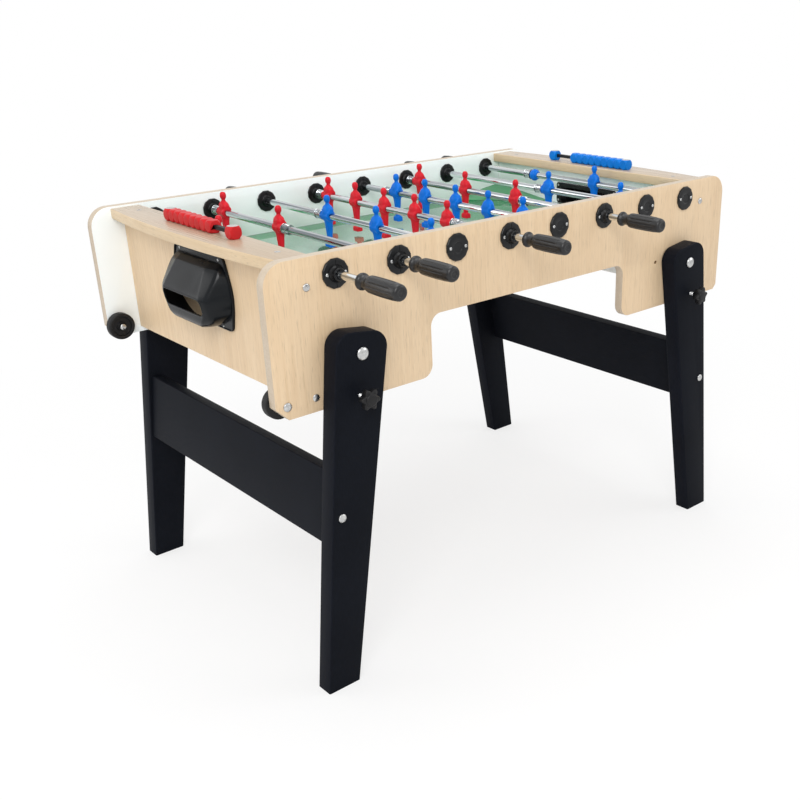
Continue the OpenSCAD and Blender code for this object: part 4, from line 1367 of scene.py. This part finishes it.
def bright_metal(name, tone, dark, rough, streaks):
    f = Finish(name, Metallic=1.0)
    # Streaks along Y in the colour: faint grinding marks on the ground steel, and on the chrome
    # dark bands painted in as reflections of the surroundings.
    drawn_marks_and_painted_reflections = f.noise((streaks, 1.6, streaks)).between(0.36, 0.64)
    smudge = f.noise((30, 12, 30), 3.0).between(0.35, 0.7)
    colour = f.mix(drawn_marks_and_painted_reflections, srgb(*tone), srgb(*dark))
    return f.wear(Base_Color=colour, Roughness=drawn_marks_and_painted_reflections * 0.04 + smudge * 0.05 + rough)


# The chrome's dark streak tone is painted reflection of the surroundings, not a mark on the
# plating.
chrome = bright_metal("chrome", (236, 239, 241), (128, 134, 139), 0.05, 150)
ground_steel = bright_metal("ground_steel", (196, 198, 200), (168, 170, 172), 0.14, 300)

# A coil of round wire on every spot
coil = Nodes("coil", "Turns", "Coil Radius", "Coil Length", "Wire Radius", "Finish")
helix = coil.node(
    "GeometryNodeCurveSpiral", {},
    {"Resolution": 28, "Rotations": coil.input("Turns"), "Start Radius": coil.input("Coil Radius"),
     "End Radius": coil.input("Coil Radius"), "Height": coil.input("Coil Length")},
)
wire = coil.node(
    "GeometryNodeCurvePrimitiveCircle", {}, {"Resolution": 10, "Radius": coil.input("Wire Radius")}
)
sweep = coil.node(
    "GeometryNodeCurveToMesh", {}, {"Curve": helix, "Profile Curve": wire, "Fill Caps": True}
)
coil.end(coil.on_spots(sweep))

ring = [(0.0081, -0.0007), (0.0113, -0.0007), (0.0116, -0.0002), (0.0116, 0.0003),
        (0.0113, 0.0008), (0.0081, 0.0008), (0.0081, -0.0007)]
for k in range(8):
    s, x, c = GRIP_SIDE[k], ROD_X[k], SHIFT[k]
    travel = STOP - stops[k]
    outer_end = c + s * (grip_at[k] + 0.100)
    inner_end = c - s * (STOP - travel)
    length = abs(outer_end - inner_end)
    tube = bmesh.new()
    profile = [(CORE_BORE, 0), (TUBE - 0.0004, 0), (TUBE, 0.0004), (TUBE, length)]
    profile += [(CORE_BORE, length), (CORE_BORE, 0)]
    add_turned(tube, profile, (x, inner_end, ROD_Z), (0, s, 0), 48)
    ends_of_springs = [((x, c + e * (stops[k] - 0.0222), ROD_Z), OUT[e]) for e in (-1, 1)]
    springs = coil.grow(
        "springs", spots_mesh(ends_of_springs), Turns=3.5, Coil_Radius=0.0099,
        Coil_Length=0.0206, Wire_Radius=0.0013, Finish=chrome,
    )
    tube.from_mesh(springs)
    for e in (-1, 1):
        for y in (0.0238, 0.0016):
            add_turned(tube, ring, (x, c + e * (stops[k] - y), ROD_Z), (0, e, 0), 40)
    finished(f"rod_tube_{k + 1}", tube, [chrome], f"rod_{k + 1}_slider", f"rod_{k + 1}", sharp=35)
    held, free = -s * (OUTER - 0.002), -s * (STOP - 2 * travel - 0.060)
    core = bmesh.new()
    span = abs(held - free)
    profile = [(0, 0), (0.00595, 0), (0.00645, 0.0005), (0.00645, span - 0.0005)]
    profile += [(0.00595, span), (0, span)]
    add_turned(core, profile, (x, held, ROD_Z), (0, s, 0), 40)
    name = f"inner_rod_{k + 1}"
    finished(name + "_ground", core, [ground_steel], f"rod_{k + 1}_core", name)

# ---------------------------------------------------------------- grips
# Black rubber grips pressed on the tubes: a collar, a waist and a barrel with
# twelve shallow flutes, dished at its end.


def rubber():
    f = Finish("grip_rubber", Specular_IOR_Level=0.5)
    smear = f.cloud(40, 3.0)
    skin = f.noise((1100, 1100, 1100))
    colour = f.mix(smear, srgb(10, 10, 12), srgb(16, 16, 19))
    return f.wear(
        Base_Color=colour, Roughness=smear * 0.1 + 0.32, Normal=f.bump(skin, 0.0001, 0.5)
    )


FLUTE_FROM, FLUTE_TO = 0.0338, 0.1042


def flute(r, h, a):
    """Twelve grooves, 1.2 mm deep, that run out at both ends of the barrel."""
    if not FLUTE_FROM < h < FLUTE_TO or r < 0.0140:
        return r
    fade = min(1.0, (h - FLUTE_FROM) / 0.004, (FLUTE_TO - h) / 0.004)
    off = abs((a + math.radians(15)) % math.radians(30) - math.radians(15))
    groove = max(0.0, 1 - (off / math.radians(4.6)) ** 2)
    return r - 0.0012 * fade * groove


GRIP = (
    [(ON_TUBE, 0.0), (0.0118, 0.0), (0.0128, 0.0004), (0.0146, 0.0014), (0.0158, 0.0030),
     (0.0161, 0.0050), (0.0158, 0.0070), (0.0146, 0.0088), (0.0130, 0.0104), (0.0119, 0.0130),
     (0.0115, 0.0160), (0.0115, 0.0190), (0.0118, 0.0220), (0.0129, 0.0262), (0.0145, 0.0288),
     (0.0155, 0.0302), (0.0160, 0.0320), (0.0161, FLUTE_FROM)]
    + [(0.0162 + 0.0006 * math.sin(math.pi * (h - 34) / 70), h / 1000) for h in range(36, 104, 4)]
    + [(0.0159, FLUTE_TO), (0.0157, 0.1070), (0.0155, 0.1110), (0.0150, 0.1140), (0.0138, 0.1164),
       (0.0120, 0.1177), (0.0100, 0.1180), (0.0072, 0.1180), (0.0066, 0.1176), (0.0063, 0.1169),
       (0.0058, 0.1168), (0.0014, 0.1168), (0.0010, 0.1164), (0.0, 0.1164)]
)
SOCKET = [(0.0, 0.1005), (ON_TUBE, 0.1005)]
grip_rubber = rubber()
for k in range(8):
    s = GRIP_SIDE[k]
    start_y = SHIFT[k] + s * grip_at[k]
    spot = (ROD_X[k], start_y, ROD_Z)
    grip = add_turned(bmesh.new(), SOCKET + GRIP, spot, (0, s, 0), 144, flute)
    name = f"handle_{k + 1}"
    finished(name + "_rubber", grip, [grip_rubber], f"rod_{k + 1}_slider", name, sharp=38)
